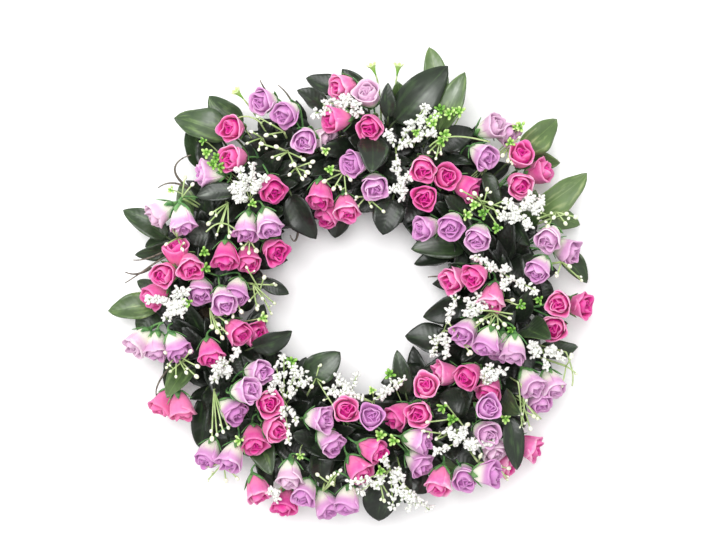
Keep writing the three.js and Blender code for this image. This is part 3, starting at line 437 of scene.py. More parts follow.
def ring_place(points):
    """Each point's turn round the ring, from 0 to 360, and its distance outward of the ring's centreline."""
    flat = np.asarray(points, float)[..., :2] - RING_CENTRE
    turn = np.degrees(np.arctan2(flat[..., 1], flat[..., 0])) % 360
    return turn, np.hypot(flat[..., 0], flat[..., 1]) - RING_RADIUS


def from_vine(turn, elevation, clearance):
    """Points a clearance outside the vine's oval section, at an elevation seen from its centreline."""
    elevation, clearance = np.radians(elevation), np.asarray(clearance, float)
    out = (VINE_HALF_WIDTH + clearance) * np.cos(elevation)
    return round_ring(turn, out, VINE_HEIGHT + (VINE_HALF_HEIGHT + clearance) * np.sin(elevation))


def cad_corners(name):
    """The corners of a CAD node's mesh."""
    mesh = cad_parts[name].data
    points = np.empty(len(mesh.vertices) * 3, np.float32)
    mesh.vertices.foreach_get("co", points)
    return points.reshape(-1, 3).astype(float) / MM


def nearest(corners, points):
    """The distance from each point to the nearest corner."""
    apart = np.asarray(points)[..., None, :] - corners
    return np.linalg.norm(apart, axis=-1).min(axis=-1)


def blade_axes(base, tip, roll):
    """A blade's forward, normal and side directions. The normal is up, made square to forward and rolled."""
    forward = unit(tip - base)
    level = unit(np.array([0.0, 0.0, 1.0]) - forward * forward[..., 2:])
    roll = np.radians(roll)[..., None]
    normal = level * np.cos(roll) + np.cross(forward, level) * np.sin(roll)
    return forward, normal, np.cross(forward, normal)


def blade_points(base, tip, width, roll, along, across):
    """Points on a blade's upper face. The midrib arches by 4s(1 - s), the half width is
    sin(pi s^0.82)^0.8, and the edges stand up from the midrib in proportion to their distance."""
    _, normal, side = blade_axes(base, tip, roll)
    length = np.linalg.norm(tip - base, axis=-1)
    arch = LEAF_ARCH * length * 4 * along * (1 - along)
    half = width / 2 * np.sin(np.pi * along**0.82).clip(0) ** 0.8
    rise = arch + half * LEAF_FOLD * np.abs(across)
    on_line = base + (tip - base) * along[..., None]
    return on_line + side * (half * across)[..., None] + normal * rise[..., None]


def shell(points, thickness, **values):
    """A closed thin part for each grid of points (copy, row, column, xyz): the grid, its copy moved by the
    thickness against its normal, and a rim between them. Values are held alike on both."""
    count, rows, columns = points.shape[:3]
    normal = unit(np.cross(np.gradient(points, axis=2), np.gradient(points, axis=1)))
    both = np.stack([points, points - normal * thickness], axis=1)
    quads = grid_quads(rows, columns)
    size = rows * columns
    number = np.arange(size).reshape(rows, columns)
    loop = np.concatenate([number[0, :-1], number[:-1, -1], number[-1, :0:-1], number[:0:-1, 0]])
    after = np.roll(loop, -1)
    rim = np.stack([after, loop, loop + size, after + size], axis=-1)
    faces = np.concatenate([quads, quads[:, ::-1] + size, rim])
    held = {"inside": np.tile(np.repeat([0.0, 1.0], size), count)}
    for name, value in values.items():
        one_side = np.broadcast_to(value, (count, rows, columns))
        held[name] = np.stack([one_side, one_side], axis=1).ravel()
    return both.reshape(-1, 3), [repeated(faces, count, 2 * size)], held


def leaf_part(leaves, rows=15, columns=9):
    """A part of leaves given as (base, tip, width, roll, tone, sheen, and the sheen's place along and
    across), where tone is how light a leaf is painted, which holds painted light and shade, and sheen is a
    painted grey-white reflection: finer blades of the half width sin(pi s^0.78)^0.72, with edges that wave by
    sin(2 pi (1.7 s + phase)), and side veins pressed in as a small ripple along the blade. The painted sheen
    falls off from its place by exp(-distance^2)."""
    base, tip = np.array([leaf[0] for leaf in leaves]), np.array([leaf[1] for leaf in leaves])
    roll = np.array([leaf[3] for leaf in leaves])
    width, _, tone, strength, middle, aside = np.array([leaf[2:] for leaf in leaves]).T[:, :, None, None]
    along = np.linspace(0.0, 1.0, rows)[None, :, None]
    across = np.linspace(-1.0, 1.0, columns)[None, None]
    _, normal, side = (axis[:, None, None] for axis in blade_axes(base, tip, roll))
    length = np.linalg.norm(tip - base, axis=-1)[:, None, None]
    half = width / 2 * np.sin(np.pi * along**0.78).clip(0) ** 0.72 + 0.25
    seed = np.modf(base.sum(axis=-1) * 0.37)[0][:, None, None]
    wave = np.sin(2 * np.pi * (1.7 * along + seed)) * across**2 * half * EDGE_WAVE
    ripple = np.cos(2 * np.pi * (VEINS * along - 1.6 * np.abs(across)))
    veins = VEIN_RIPPLE * ripple * (1 - np.abs(across) ** 3)
    cup = half * LEAF_FOLD * (np.abs(across) ** 1.4) * 1.15
    rise = LEAF_ARCH * length * 4 * along * (1 - along) + cup + wave + veins * np.sin(np.pi * along)
    sway = half * LEAF_SWAY * np.sin(np.pi * along + 6 * seed)
    points = base[:, None, None] + (tip - base)[:, None, None] * along[..., None]
    points = points + side * (half * across + sway)[..., None] + normal * rise[..., None]
    off = ((along - middle) / SHEEN_SPREAD[0]) ** 2 + ((across - aside) / SHEEN_SPREAD[1]) ** 2
    return shell(points, LEAF_THICKNESS, along=along, across=across, tone=tone, sheen=strength * np.exp(-off))


# Each leafy stem: how its name ends, its side, its ends as turns round the ring, and its elevation.
spines = []
for side, count, elevation in (("outer", OUTER_STEMS, 0), ("inner", INNER_STEMS, 180)):
    for number in range(count):
        ends = (number * 360 / count + SPINE_GAP / 2, (number + 1) * 360 / count - SPINE_GAP / 2)
        spines.append((f"{side}_{number + 1}", side, *ends, elevation))
corners = {f"foliage_{ending}": cad_corners(f"foliage_{ending}") for ending, *_ in spines}
leaves_of = {name: [] for name in corners}


def stem_name(point):
    """The name of the leafy stem that a leaf with its base at this point grows from."""
    turn, out = ring_place(point)
    side, count = ("outer", OUTER_STEMS) if out > 0 else ("inner", INNER_STEMS)
    return f"foliage_{side}_{int(turn * count / 360) + 1}"


def root_under(points):
    """The root on a leafy stem for each point, on the point's own side of the vine."""
    turn, out = ring_place(points)
    return from_vine(turn, np.where(out > 0, 0, 180), SPINE_CLEARANCE)


for tip_x, tip_y, base_x, base_y, width, tip_height, base_height, light in SHOWN_LEAVES:
    bases = place(np.tile([base_x, base_y], (len(LEAF_SHIFTS), 1)), base_height + LEAF_SHIFTS)
    tips = place(np.tile([tip_x, tip_y], (len(LEAF_SHIFTS), 1)), tip_height + LEAF_SHIFTS)
    missed = {name: nearest(corners[name], tips) for name in corners}
    name = min(missed, key=lambda key: missed[key].min())
    shift = int(missed[name].argmin())
    base, tip = bases[shift], tips[shift]
    if missed[name][shift] > SAME_PLACE:
        name = stem_name(base)
        base, tip = bases[0], tips[0]
    choices = [(width * share, float(roll)) for share in LEAF_WIDTHS for roll in LEAF_ROLLS]
    edges = np.array([-1.0, 1.0])
    misses = []
    for choice in choices:
        points = blade_points(base, tip, *choice, np.full(2, CAD_STATION), edges)
        misses.append(nearest(corners[name], points).sum())
    sheen = PAINTED_SHEENS.get((tip_x, tip_y), NO_SHEEN)
    leaves_of[name].append((base, tip, *choices[int(np.argmin(misses))], light, *sheen))

for tip_x, tip_y, base_x, base_y, width, tip_height, base_height, light in FREE_LEAVES:
    base, tip = place([base_x, base_y], base_height), place([tip_x, tip_y], tip_height)
    leaves_of[stem_name(base)].append((base, tip, width, 0.0, light, *NO_SHEEN))


def painted_leaf_light(reach):
    """How light a leaf is painted whose tip reaches so far out of the ring's centreline: dark with painted
    shade within the wreath, and olive with painted light at its outer rim."""
    share = np.clip((reach - LIT_FROM) / LIT_OVER, 0, 1)
    return TONE_SHADED + (TONE_LIT - TONE_SHADED) * share * share * (3 - 2 * share)


fill_state = FILL_SEED


def between(low, high):
    """The next number of a fixed run, between two limits. At each call the run's state becomes 1664525 times
    itself plus 1013904223, in 32 bits."""
    global fill_state
    fill_state = (1664525 * fill_state + 1013904223) % 2**32
    return low + (high - low) * (fill_state / 2**32)


for ending, side, start, end, elevation in spines:
    name = f"foliage_{ending}"
    for _ in range(FILL_LEAVES[side]):
        for _ in range(FILL_TRIES):
            turn = between(start + FILL_ENDS, end - FILL_ENDS)
            rise = between(*FILL_RISES) if side == "outer" else 180 - between(0, FILL_RISES[1])
            sweep = between(-FILL_SWEEP, FILL_SWEEP)
            length = between(*FILL_LENGTHS)
            width = between(*FILL_WIDTHS)
            stalk = between(*FILL_STALKS)
            roll = between(-FILL_ROLL, FILL_ROLL)
            root = from_vine(turn, elevation, SPINE_CLEARANCE)
            outward = np.array([math.cos(math.radians(turn)), math.sin(math.radians(turn)), 0])
            tangent = np.array([-outward[1], outward[0], 0])
            rise, sweep = math.radians(rise), math.radians(sweep)
            direction = outward * math.cos(rise) * math.cos(sweep) + tangent * math.sin(sweep)
            direction = direction + np.array([0, 0, math.sin(rise) * math.cos(sweep)])
            base = root + direction * stalk + np.array([0, 0, FILL_LIFT])
            tip = base + direction * length
            reach = ring_place(tip)[1]
            if reach < FILL_REACH[0] or reach > FILL_REACH[1]:
                continue
            if nearest(corners[name], tip[None])[0] < SAME_PLACE:
                leaves_of[name].append((base, tip, width, roll, painted_leaf_light(reach), *NO_SHEEN))
                break


def coming_through(count, *points):
    """Smooth paths of count points under four guide points each (path, xyz): the cubic curve with the shares
    (1 - t)^3, 3t(1 - t)^2, 3t^2(1 - t) and t^3."""
    t = np.linspace(0, 1, count)[None, :, None]
    first, second, third, last = (np.asarray(point, float)[:, None] for point in points)
    return first * (1 - t) ** 3 + second * 3 * t * (1 - t) ** 2 + third * 3 * t**2 * (1 - t) + last * t**3


def held_value(tree, name):
    """The output that reads a value held at a mesh's points."""
    return add_node(tree, "ShaderNodeAttribute", attribute_name=name).outputs["Fac"]


def computed(tree, operation, first, second):
    """The output of a math node on two outputs or numbers."""
    node = tree.nodes.new("ShaderNodeMath")
    node.operation = operation
    for socket, value in zip(node.inputs, (first, second)):
        if isinstance(value, (int, float)):
            socket.default_value = value
        else:
            tree.links.new(value, socket)
    return node.outputs[0]


def mixed(tree, share, colour, code):
    """The colour output between a colour's output and a web code, by an output from 0 to 1."""
    node = add_node(tree, "ShaderNodeMix", data_type="RGBA")
    tree.links.new(share, node.inputs[0])
    tree.links.new(colour, node.inputs[6])
    node.inputs[7].default_value = linear(code)
    return node.outputs[2]


leaf_cloth, tree, shader = plain_material("leaf_satin", 0.34)
mottle = computed(tree, "MULTIPLY", computed(tree, "SUBTRACT", grain(tree, 60, 3), 0.5), MOTTLING)
across = computed(tree, "ABSOLUTE", held_value(tree, "across"), 0)
rib = computed(tree, "MULTIPLY", computed(tree, "LESS_THAN", across, RIB_HALF_WIDTH), RIB_LIGHT)
on_blade = add_node(tree, "ShaderNodeCombineXYZ")
for socket, value, stretch in zip(on_blade.inputs, ("along", "across", "tone"), (1.6, 1.5, 60.0)):
    tree.links.new(computed(tree, "MULTIPLY", held_value(tree, value), stretch), socket)
# Painted sheen: lighter streaks and grey-white patches, a painted reflection where the satin would catch the
# light, both from one noise along the blade.
noise = add_node(tree, "ShaderNodeTexNoise", [("Vector", on_blade.outputs[0])], Scale=1.6, Detail=3.0)
sheen_noise = [("Value", noise.outputs["Fac"])]
sheen_streaks = add_node(tree, "ShaderNodeMapRange", sheen_noise, From_Min=0.52, From_Max=0.72, To_Max=STREAK_SHEEN)
sheen_breakup = add_node(tree, "ShaderNodeMapRange", sheen_noise, From_Min=0.3, From_Max=0.6, To_Min=0.2)
# How light the leaf is painted: its tone, which holds painted light and shade, with mottling, the paler
# midrib and the painted sheen streaks.
shade = held_value(tree, "tone")
for lighter in (mottle, rib, sheen_streaks.outputs["Result"]):
    shade = computed(tree, "ADD", shade, lighter)
# A painted reflection: grey-white mixed in where a leaf has its painted sheen.
painted_sheen = computed(tree, "MULTIPLY", sheen_breakup.outputs["Result"], held_value(tree, "sheen"))
leaf_colour = mixed(tree, painted_sheen, colour_ramp(tree, shade, *LEAF_SHADED_TO_LIT), SHEEN_GREY)
tree.links.new(leaf_colour, shader.inputs["Base Color"])
shader.inputs["Sheen Weight"].default_value = 0.12
shader.inputs["Sheen Roughness"].default_value = 0.4
vein_rows = computed(tree, "MULTIPLY", held_value(tree, "along"), 56)
slanted = computed(tree, "SUBTRACT", vein_rows, computed(tree, "MULTIPLY", across, 9))
veins = computed(tree, "MULTIPLY", computed(tree, "SINE", slanted, 0), 0.3)
weave = computed(tree, "MULTIPLY", grain(tree, 1500, 2), 0.25)
add_bump(tree, shader, computed(tree, "ADD", veins, weave), 0.25, 0.0005)

WIRE_COLOURS = ((0.3, "#2E3B22"), (0.7, "#4E5F38"))
wire = grained("coated_wire", 0.6, WIRE_COLOURS, spots=(90, 2), pores=(900, 2), strength=0.3, depth=0.0004)

for ending, side, start, end, elevation in spines:
    leaves = leaves_of[f"foliage_{ending}"]
    make_piece(f"leaves_{ending}", [leaf_part(leaves)], leaf_cloth, "leaf", f"foliage_{ending}")
    bases, tips = np.array([leaf[0] for leaf in leaves]), np.array([leaf[1] for leaf in leaves])
    spine = from_vine(np.linspace(start, end, 40), elevation, SPINE_CLEARANCE)[None]
    roots = from_vine(np.clip(ring_place(bases)[0], start + 1, end - 1), elevation, SPINE_CLEARANCE)
    away = (bases - roots) * STALK_AWAY
    inward = (tips - bases) * STALK_ALONG
    stalks = coming_through(9, roots, roots + away, bases - inward, bases + inward * STALK_UNDER)
    parts = [tubes(spine, SPINE_WIRE, 8), tubes(stalks, STALK_WIRE, 6)]
    make_piece(f"leaf_stalks_{ending}", parts, wire, "leaf")

# Rosebuds
# Mini rosebuds of thin dyed fabric, rolled round a heart and glued into a green calyx with five sepals, each
# on a wired stem. A bunch's stems meet just above the vine, and one foot of them is bound to it.
BUD_LENGTH = 29.0
BUD_HEART = 0.78
DOME_BASE = 18.0
DOME_RISE = 44.0
DOME_HALF_WIDTH = 76.0
DOME_EDGE = 0.94  # beyond this share of its half width the dome falls no further
HUB_CLEARANCE = 9.0
BUD_LIFTS = np.array([0, 3, -3, 6, -6, 9, -9, 12, -12, 15])
SPIN_BY_PLACE = (7, 13)  # a bud is turned by these times its pixel
BUD_TONES = (-0.10, 0.10)  # how much deeper or paler a bud may be than its colour
BODY_SHARES = (0.26, 0.62)  # the places along a bud that small leaves keep clear of
STEM_START = 2  # how far below its bud a stem starts
STEM_NECK = 12  # how far below it the stem is still in line with it
STEM_WIRE = 0.9
HUB_RUN = 0.8  # share of the shank's length that guides a stem straight into the hub
SHANK_WIRE = 1.35
FOOT_SPREAD = 1.2  # how near one another the corners at a foot's end lie on the CAD node

# A bunch's colour, then for each bud its pixel, the way its mouth points in the picture (0 is right, 90 is
# up), its tilt away from the viewer, and its height over the dome of blooms if it isn't on it.
BUNCHES = [
    ("pink", (234, 128, 200, 25), (236, 158, 190, 35), (272, 186, 290, 45)),
    ("pink", (344, 86, 200, 50), (339, 119, 190, 60), (371, 125, 250, 30)),
    ("pink", (320, 193, 270, 65), (331, 213, 225, 60), (346, 206, 280, 50)),
    ("pink", (423, 166, 270, 30), (444, 178, 20, 15), (426, 197, 225, 15), (464, 186, 328, 72, -17)),
    ("pink", (521, 158, 90, 25), (518, 183, 300, 30), (537, 173, 20, 60, -4)),
    ("pink", (560, 303, 200, 20), (577, 305, 0, 45), (555, 327, 210, 20)),
    ("pink", (456, 279, 200, 50), (477, 275, 215, 40), (493, 295, 260, 60)),
    ("pink", (470, 374, 215, 40), (490, 386, 250, 50, -12), (447, 374, 180, 70, -6)),
    ("pink", (426, 388, 100, 20), (421, 413, 200, 20), (400, 414, 220, 60, -3)),
    ("pink", (371, 449, 340, 60), (357, 467, 310, 60), (345, 411, 60, 15)),
    ("pink", (267, 403, 0, 20), (273, 428, 340, 35), (254, 437, 280, 50)),
    ("pink", (236, 330, 320, 50), (252, 334, 0, 45), (210, 351, 285, 55)),
    ("pink", (181, 405, 285, 70), (165, 401, 240, 70)),
    ("pink", (166, 273, 220, 25), (190, 264, 290, 35), (178, 255, 100, 60, -6), (157, 294, 220, 60, -6)),
    ("pink", (225, 254, 270, 60), (248, 257, 280, 50, -4), (273, 249, 320, 35)),
    ("pink", (257, 488, 290, 65), (285, 500, 260, 60, -12)),
    ("pink", (440, 479, 255, 60)),
    ("pink", (502, 463, 340, 60, -14), (526, 446, 340, 65, -4)),
    ("lavender", (211, 173, 180, 75), (161, 212, 215, 70), (182, 218, 280, 70)),
    ("lavender", (266, 101, 200, 35), (288, 112, 225, 40), (306, 138, 250, 30), (320, 139, 350, 50, -10)),
    ("lavender", (369, 97, 120, 30), (357, 163, 200, 40), (375, 184, 270, 35)),
    ("lavender", (428, 227, 200, 50), (452, 223, 250, 35), (479, 235, 250, 40)),
    ("lavender", (489, 128, 20, 55), (504, 132, 330, 50), (481, 154, 320, 45)),
    ("lavender", (550, 236, 240, 40), (565, 249, 330, 60), (540, 267, 235, 50)),
    ("lavender", (467, 329, 230, 50), (488, 340, 250, 65), (501, 345, 260, 65, -6), (514, 348, 265, 65)),
    ("lavender", (486, 408, 30, 15), (484, 432, 330, 30), (492, 447, 300, 50, -3)),
    ("lavender", (530, 381, 300, 60), (538, 398, 290, 50), (551, 382, 290, 60, -5)),
    ("lavender", (416, 440, 350, 65), (417, 461, 320, 55), (371, 418, 80, 15)),
    ("lavender", (317, 419, 0, 50), (328, 440, 320, 55)),
    ("lavender", (256, 372, 0, 45), (243, 391, 10, 50), (230, 409, 330, 55)),
    ("lavender", (176, 345, 300, 65), (157, 345, 270, 65), (140, 340, 230, 65)),
    ("lavender", (200, 288, 280, 45), (223, 298, 290, 45), (237, 290, 262, 50)),
    ("lavender", (247, 225, 265, 65), (268, 221, 290, 60)),
    ("lavender", (209, 452, 250, 60, -5), (232, 455, 250, 60, -5)),
    ("lavender", (290, 473, 270, 60), (305, 491, 250, 45), (325, 502, 300, 60), (348, 499, 260, 60)),
    ("lavender", (464, 475, 280, 30), (486, 474, 0, 60)),
]

# Rosebuds that have faded: how much of their dye is lost.
FADED = {
    (161, 212): 0.3, (290, 473): 0.25, (550, 236): 0.12, (565, 249): 0.1, (530, 381): 0.1,
    (551, 382): 0.1, (489, 128): 0.25, (181, 405): 0.55, (165, 401): 0.55, (140, 340): 0.25,
    (157, 345): 0.15, (514, 348): 0.15, (504, 132): 0.15, (484, 432): 0.15, (320, 139): 0.3,
    (369, 97): 0.25, (492, 447): 0.25,
}

# Petals in layers from the heart outward: number, span in degrees, reach, top, how far the lip flares out,
# and how much the layer is folded into three corners.
PETAL_LAYERS = [
    (2, 205, 4.6, 26.6, -0.5, 0.24),
    (3, 165, 8.2, 27.6, -1.5, 0.09),
    (3, 160, 10.0, 26.2, 2.2, 0.04),
]
PETAL_ROWS = 8
PETAL_COLUMNS = 15
PETAL_THICKNESS = 1.0
HEART_TURNS = 0.95
HEART_FOLDS = 0.2
CORE_SIDES = 14
CORE_HEIGHTS = np.array([14, 17, 19.5, 21, 21.8, 22.2])
CORE_RADII = np.array([8.0, 8.7, 8.6, 7.6, 5.5, 2.5])
PETAL_TONES = (0.26, 0.42, 0.52)  # how pale each layer is
LOW_END = 0.76  # the tint by the calyx ends at this share of a petal's height, after a gentle blend
LOW_BLEND = 0.36
SEPALS = 5
SEPAL_THICKNESS = 0.5
BUD_KINDS = 4


def dome_height(pixels):
    """The height of the dome of blooms under pixels: a flattened round arch across the ring."""
    out = ring_place(place(pixels, np.full(len(np.atleast_2d(pixels)), VIEW_LEVEL)))[1]
    share = np.minimum(DOME_EDGE, np.abs(out) / DOME_HALF_WIDTH)
    return DOME_BASE + DOME_RISE * np.sqrt(1 - share * share)


def round_axis(angle, reach, height):
    """Points by their angle in degrees, reach and height round the z axis."""
    angle, reach, height = np.broadcast_arrays(np.radians(angle), reach, height)
    return np.stack([reach * np.cos(angle), reach * np.sin(angle), height], axis=-1)


def petal_surface(centre, span, reach, top, flare, folds, turned, ripple):
    """A petal round the z axis by u across and v up. It swells by sin(90 v / 0.72) to its full reach, which
    folds make larger by their share of cos(3 angle), and its lip flares by w^1.6, with w from 0 to 1 over its
    upper part. The lip ripples out by sin(5.5 u) and sin(9 u) and up by sin(4.4 u), and falls at both sides
    by |u|^2.4, and one side is tucked in."""
    v, u = np.meshgrid(np.linspace(0, 1, PETAL_ROWS), np.linspace(-1, 1, PETAL_COLUMNS), indexing="ij")
    upper = np.clip((v - 0.55) / 0.45, 0, 1)
    angle = centre + u * span / 2
    body = 0.40 + 0.60 * np.sin(np.pi / 2 * np.clip(v / 0.72, 0, 1))
    out = reach * body * (1 + folds * v * np.cos(np.radians(3 * angle) + turned)) + 0.7 * u * v
    out = out + flare * upper**1.6 * (1 - 0.5 * u**2) + 0.1 * reach * np.sin(5.5 * u + ripple) * upper**2
    out = out + 0.04 * reach * np.sin(9 * u + 3 * ripple) * upper**4
    height = 2.0 + (top - 2.0) * v * (1 - 0.17 * np.abs(u) ** 2.4) - 0.3 * flare * upper**3
    height = height + (0.7 + 0.08 * reach) * np.sin(4.4 * u + 2 * ripple) * upper**2
    return round_axis(angle, out, height), v


def bloom(kind):
    """One rosebud's petals on the z axis, base at the origin. It holds how pale each point is, and how near
    it lies to the calyx: lips and outer backs are pale, the rolled heart is deep."""
    luck = np.random.default_rng(kind + 10)
    turned = luck.uniform(0, 2 * np.pi)
    u, v = np.linspace(0, 1, 32)[None], np.linspace(0, 1, 4)[:, None]
    angle = 360 * HEART_TURNS * u
    out = (1.2 + 1.4 * u + 0.8 * v**2) * (1 + HEART_FOLDS * np.cos(np.radians(3 * angle) + turned))
    heart = round_axis(angle, out, 12 + (14.2 - 0.8 * u) * v + 0.6 * np.sin(11 * u) * v)
    points, faces, values = shell(heart[None], PETAL_THICKNESS, along=v)
    values["pale"] = 0.12 + 0.24 * values["along"] ** 6 - 0.1 * values["inside"]
    core, rings, _ = tubes(round_axis(0, 0, CORE_HEIGHTS)[None], CORE_RADII[None], CORE_SIDES)
    parts = [(points, faces, values), (core, rings, {"pale": np.full(len(core), 0.05)})]
    turn = luck.uniform(0, 360)
    for layer, (count, span, reach, top, flare, folds) in enumerate(PETAL_LAYERS):
        turn += luck.uniform(35, 75)
        turned += luck.uniform(1.0, 2.0)
        aside = luck.uniform(-0.5, 0.5, 2) * (len(PETAL_LAYERS) - 1 - layer)
        for k in range(count):
            surface, along = petal_surface(
                turn + k * 360 / count + luck.uniform(-10, 10),
                span * luck.uniform(0.93, 1.06),
                reach * luck.uniform(0.96, 1.04) + 0.35 * k / count,
                top + luck.uniform(-1.3, 0.8),
                flare + luck.uniform(-0.5, 0.9),
                folds,
                turned,
                luck.uniform(0, 6.3),
            )
            surface[..., :2] += aside * along[..., None]
            points, faces, values = shell(surface[None], PETAL_THICKNESS, along=along)
            along, inside = values["along"], values["inside"]
            own = PETAL_TONES[layer] + luck.uniform(-0.05, 0.05)
            values["pale"] = own + 0.22 * along**6 + (1 - inside) * 0.08 - 0.16 * inside * (1 - along)
            if layer == len(PETAL_LAYERS) - 1:
                values["low"] = (1 - inside) * np.clip((LOW_END - along) / LOW_BLEND, 0, 1)
            parts.append((points, faces, values))
    return joined(parts)


def calyx():
    """A rosebud's green parts on the z axis: a small cup, and five sepals that hug the petals and turn out at
    their tips. A sepal's half width is 3.6(1 - v)^0.75 at v of its height."""
    path = round_axis(0, 0, np.array([-4.0, -2.0, -0.5, 1.0, 2.6, 4.0]))[None]
    cup = tubes(path, np.array([[0.9, 1.3, 2.2, 3.5, 4.2, 4.0]]), 12)
    v, u = np.meshgrid(np.linspace(0, 1, 6), np.linspace(-1, 1, 3), indexing="ij")
    out = 4.3 + 6.0 * np.sin(np.pi / 2 * v) + 1.5 * v**4
    half = np.degrees((3.6 * (1 - v) ** 0.75 + 0.2) / out)
    turns = np.arange(SEPALS)[:, None, None] * 360 / SEPALS
    surfaces = round_axis(turns + u * half, out + 0.4 * (1 - u**2), 1.4 + 10.5 * v)
    return joined([cup, shell(surfaces, SEPAL_THICKNESS)])


def set_up(part, bases, axes, spins, scales, **values):
    """Copies of a part with its z axis along each axis, turned by each spin in degrees, at each base. Each
    copy holds its own values."""
    points, faces, held = part
    helper = np.where(np.abs(axes[:, 2:]) > 0.9, [1.0, 0.0, 0.0], [0.0, 0.0, 1.0])
    side = unit(np.cross(axes, helper))
    over = np.cross(axes, side)
    spins = np.radians(spins)[:, None]
    side, over = side * np.cos(spins) + over * np.sin(spins), over * np.cos(spins) - side * np.sin(spins)
    turned = np.stack([side, over, axes], axis=1) * np.asarray(scales, float)[:, None, None]
    placed = np.einsum("pk,ckx->cpx", points, turned) + bases[:, None]
    spread = {name: np.tile(value, len(bases)) for name, value in held.items()}
    spread.update({name: np.repeat(value, len(points)) for name, value in values.items()})
    return placed.reshape(-1, 3), [repeated(array, len(bases), len(points)) for array in faces], spread


def petal_cloth(name, colours, base_colour, base_amount):
    """Thin dyed fabric: coloured by how pale it is, with a tint by the calyx, threads and a soft sheen."""
    material, tree, shader = plain_material(name, 0.78)
    uneven = computed(tree, "MULTIPLY", computed(tree, "SUBTRACT", grain(tree, 210, 3), 0.5), 0.34)
    shade = computed(tree, "ADD", held_value(tree, "pale"), uneven)
    shade = computed(tree, "ADD", shade, held_value(tree, "tone"))
    low = computed(tree, "MULTIPLY", held_value(tree, "low"), base_amount)
    low = computed(tree, "MAXIMUM", low, held_value(tree, "cream"))
    colour = mixed(tree, low, colour_ramp(tree, shade, *colours), base_colour)
    tree.links.new(colour, shader.inputs["Base Color"])
    shader.inputs["Sheen Weight"].default_value = 0.15
    shader.inputs["Sheen Roughness"].default_value = 0.5
    shader.inputs["Specular IOR Level"].default_value = 0.3
    creases = grain(tree, 330, 3)
    threads = computed(tree, "MULTIPLY", grain(tree, 2600, 1), 0.4)
    add_bump(tree, shader, computed(tree, "ADD", creases, threads), 0.45, 0.0007)
    return material


PINKS = ((0.0, "#A80070"), (0.25, "#C80C86"), (0.5, "#DA3A96"), (0.75, "#E67CB4"), (1.0, "#FACEE0"))
LAVENDERS = ((0.0, "#BC70B4"), (0.25, "#C078B8"), (0.5, "#C680BE"), (0.75, "#D89ECE"), (1.0, "#F4DEEC"))
cloths = {
    "pink": petal_cloth("petal_pink", PINKS, "#EE86B0", 0.75),
    "lavender": petal_cloth("petal_lavender", LAVENDERS, "#EEF2DC", 0.95),
}
GREENS = ((0.3, "#3A7440"), (0.7, "#7FB268"))
sepal_green = grained("sepal_green", 0.6, GREENS, spots=(150, 3), pores=(900, 2), strength=0.4, depth=0.0005)


def foot_and_hub(corners):
    """A bunch's foot, at the corners of its CAD node that lie nearest the vine, and the point straight out
    of the vine from there where its stems meet."""
    _, out = ring_place(corners)
    depth = (out / VINE_HALF_WIDTH) ** 2 + ((corners[:, 2] - VINE_HEIGHT) / VINE_HALF_HEIGHT) ** 2
    deepest = corners[depth.argmin()]
    foot = corners[np.linalg.norm(corners - deepest, axis=1) < FOOT_SPREAD].mean(axis=0)
    turn, out = ring_place(foot)
    rise = (foot[2] - VINE_HEIGHT) / VINE_HALF_HEIGHT
    elevation = np.degrees(np.arctan2(rise, out / VINE_HALF_WIDTH))
    return foot, from_vine(turn, elevation, HUB_CLEARANCE)


blooms = [bloom(kind) for kind in range(BUD_KINDS)]
green_cup = calyx()
bud_middles = []
numbers = {"pink": 0, "lavender": 0}
for bunch, (colour, *rows) in enumerate(BUNCHES):
    numbers[colour] += 1
    ending = f"{colour}_{numbers[colour]:02d}"
    name = f"rosebuds_{ending}"
    rows = np.array([(*row, 0)[:5] for row in rows], float)
    pixels, heading, tilt, over = rows[:, :2], np.radians(rows[:, 2]), np.radians(rows[:, 3]), rows[:, 4]
    axes = np.stack([np.cos(heading) * np.sin(tilt), np.sin(heading) * np.sin(tilt), np.cos(tilt)], axis=-1)
    heights = (dome_height(pixels) + over)[:, None] + BUD_LIFTS
    centres = place(np.repeat(pixels[:, None], len(BUD_LIFTS), axis=1), heights)
    node_corners = cad_corners(name)
    missed = nearest(node_corners, centres + axes[:, None] * BUD_LENGTH * (BUD_HEART - 0.5))
    centres = centres[np.arange(len(rows)), missed.argmin(axis=1)]
    bases = centres - axes * BUD_LENGTH / 2
    bud_middles += [bases + axes * BUD_LENGTH * share for share in BODY_SHARES]
    spins = pixels @ SPIN_BY_PLACE
    petals = []
    luck = np.random.default_rng(bunch + 200)
    for k in range(len(rows)):
        one = slice(k, k + 1)
        tones = luck.uniform(*BUD_TONES, 1)
        cream = np.array([FADED.get(tuple(pixels[k].astype(int)), 0.0)])
        shape = blooms[(bunch + 3 * k) % BUD_KINDS]
        petals.append(set_up(shape, bases[one], axes[one], spins[one], np.ones(1), tone=tones, cream=cream))
    make_piece(f"petals_{ending}", petals, cloths[colour], f"rosebud_{colour}", name)
    foot, hub = foot_and_hub(node_corners)
    hubs = np.repeat(hub[None], len(rows), axis=0)
    necks = bases - axes * STEM_NECK
    stems = coming_through(10, bases - axes * STEM_START, necks, hubs + (hub - foot) * HUB_RUN, hubs)
    shank = coming_through(4, hub[None], hub[None], foot[None], foot[None])
    cups = set_up(green_cup, bases, axes, spins, np.ones(len(rows)))
    parts = [cups, tubes(stems, STEM_WIRE, 7), tubes(shank, SHANK_WIRE, 8)]
    make_piece(f"calyces_{ending}", parts, sepal_green, "leaf")
bud_middles = np.concatenate(bud_middles)

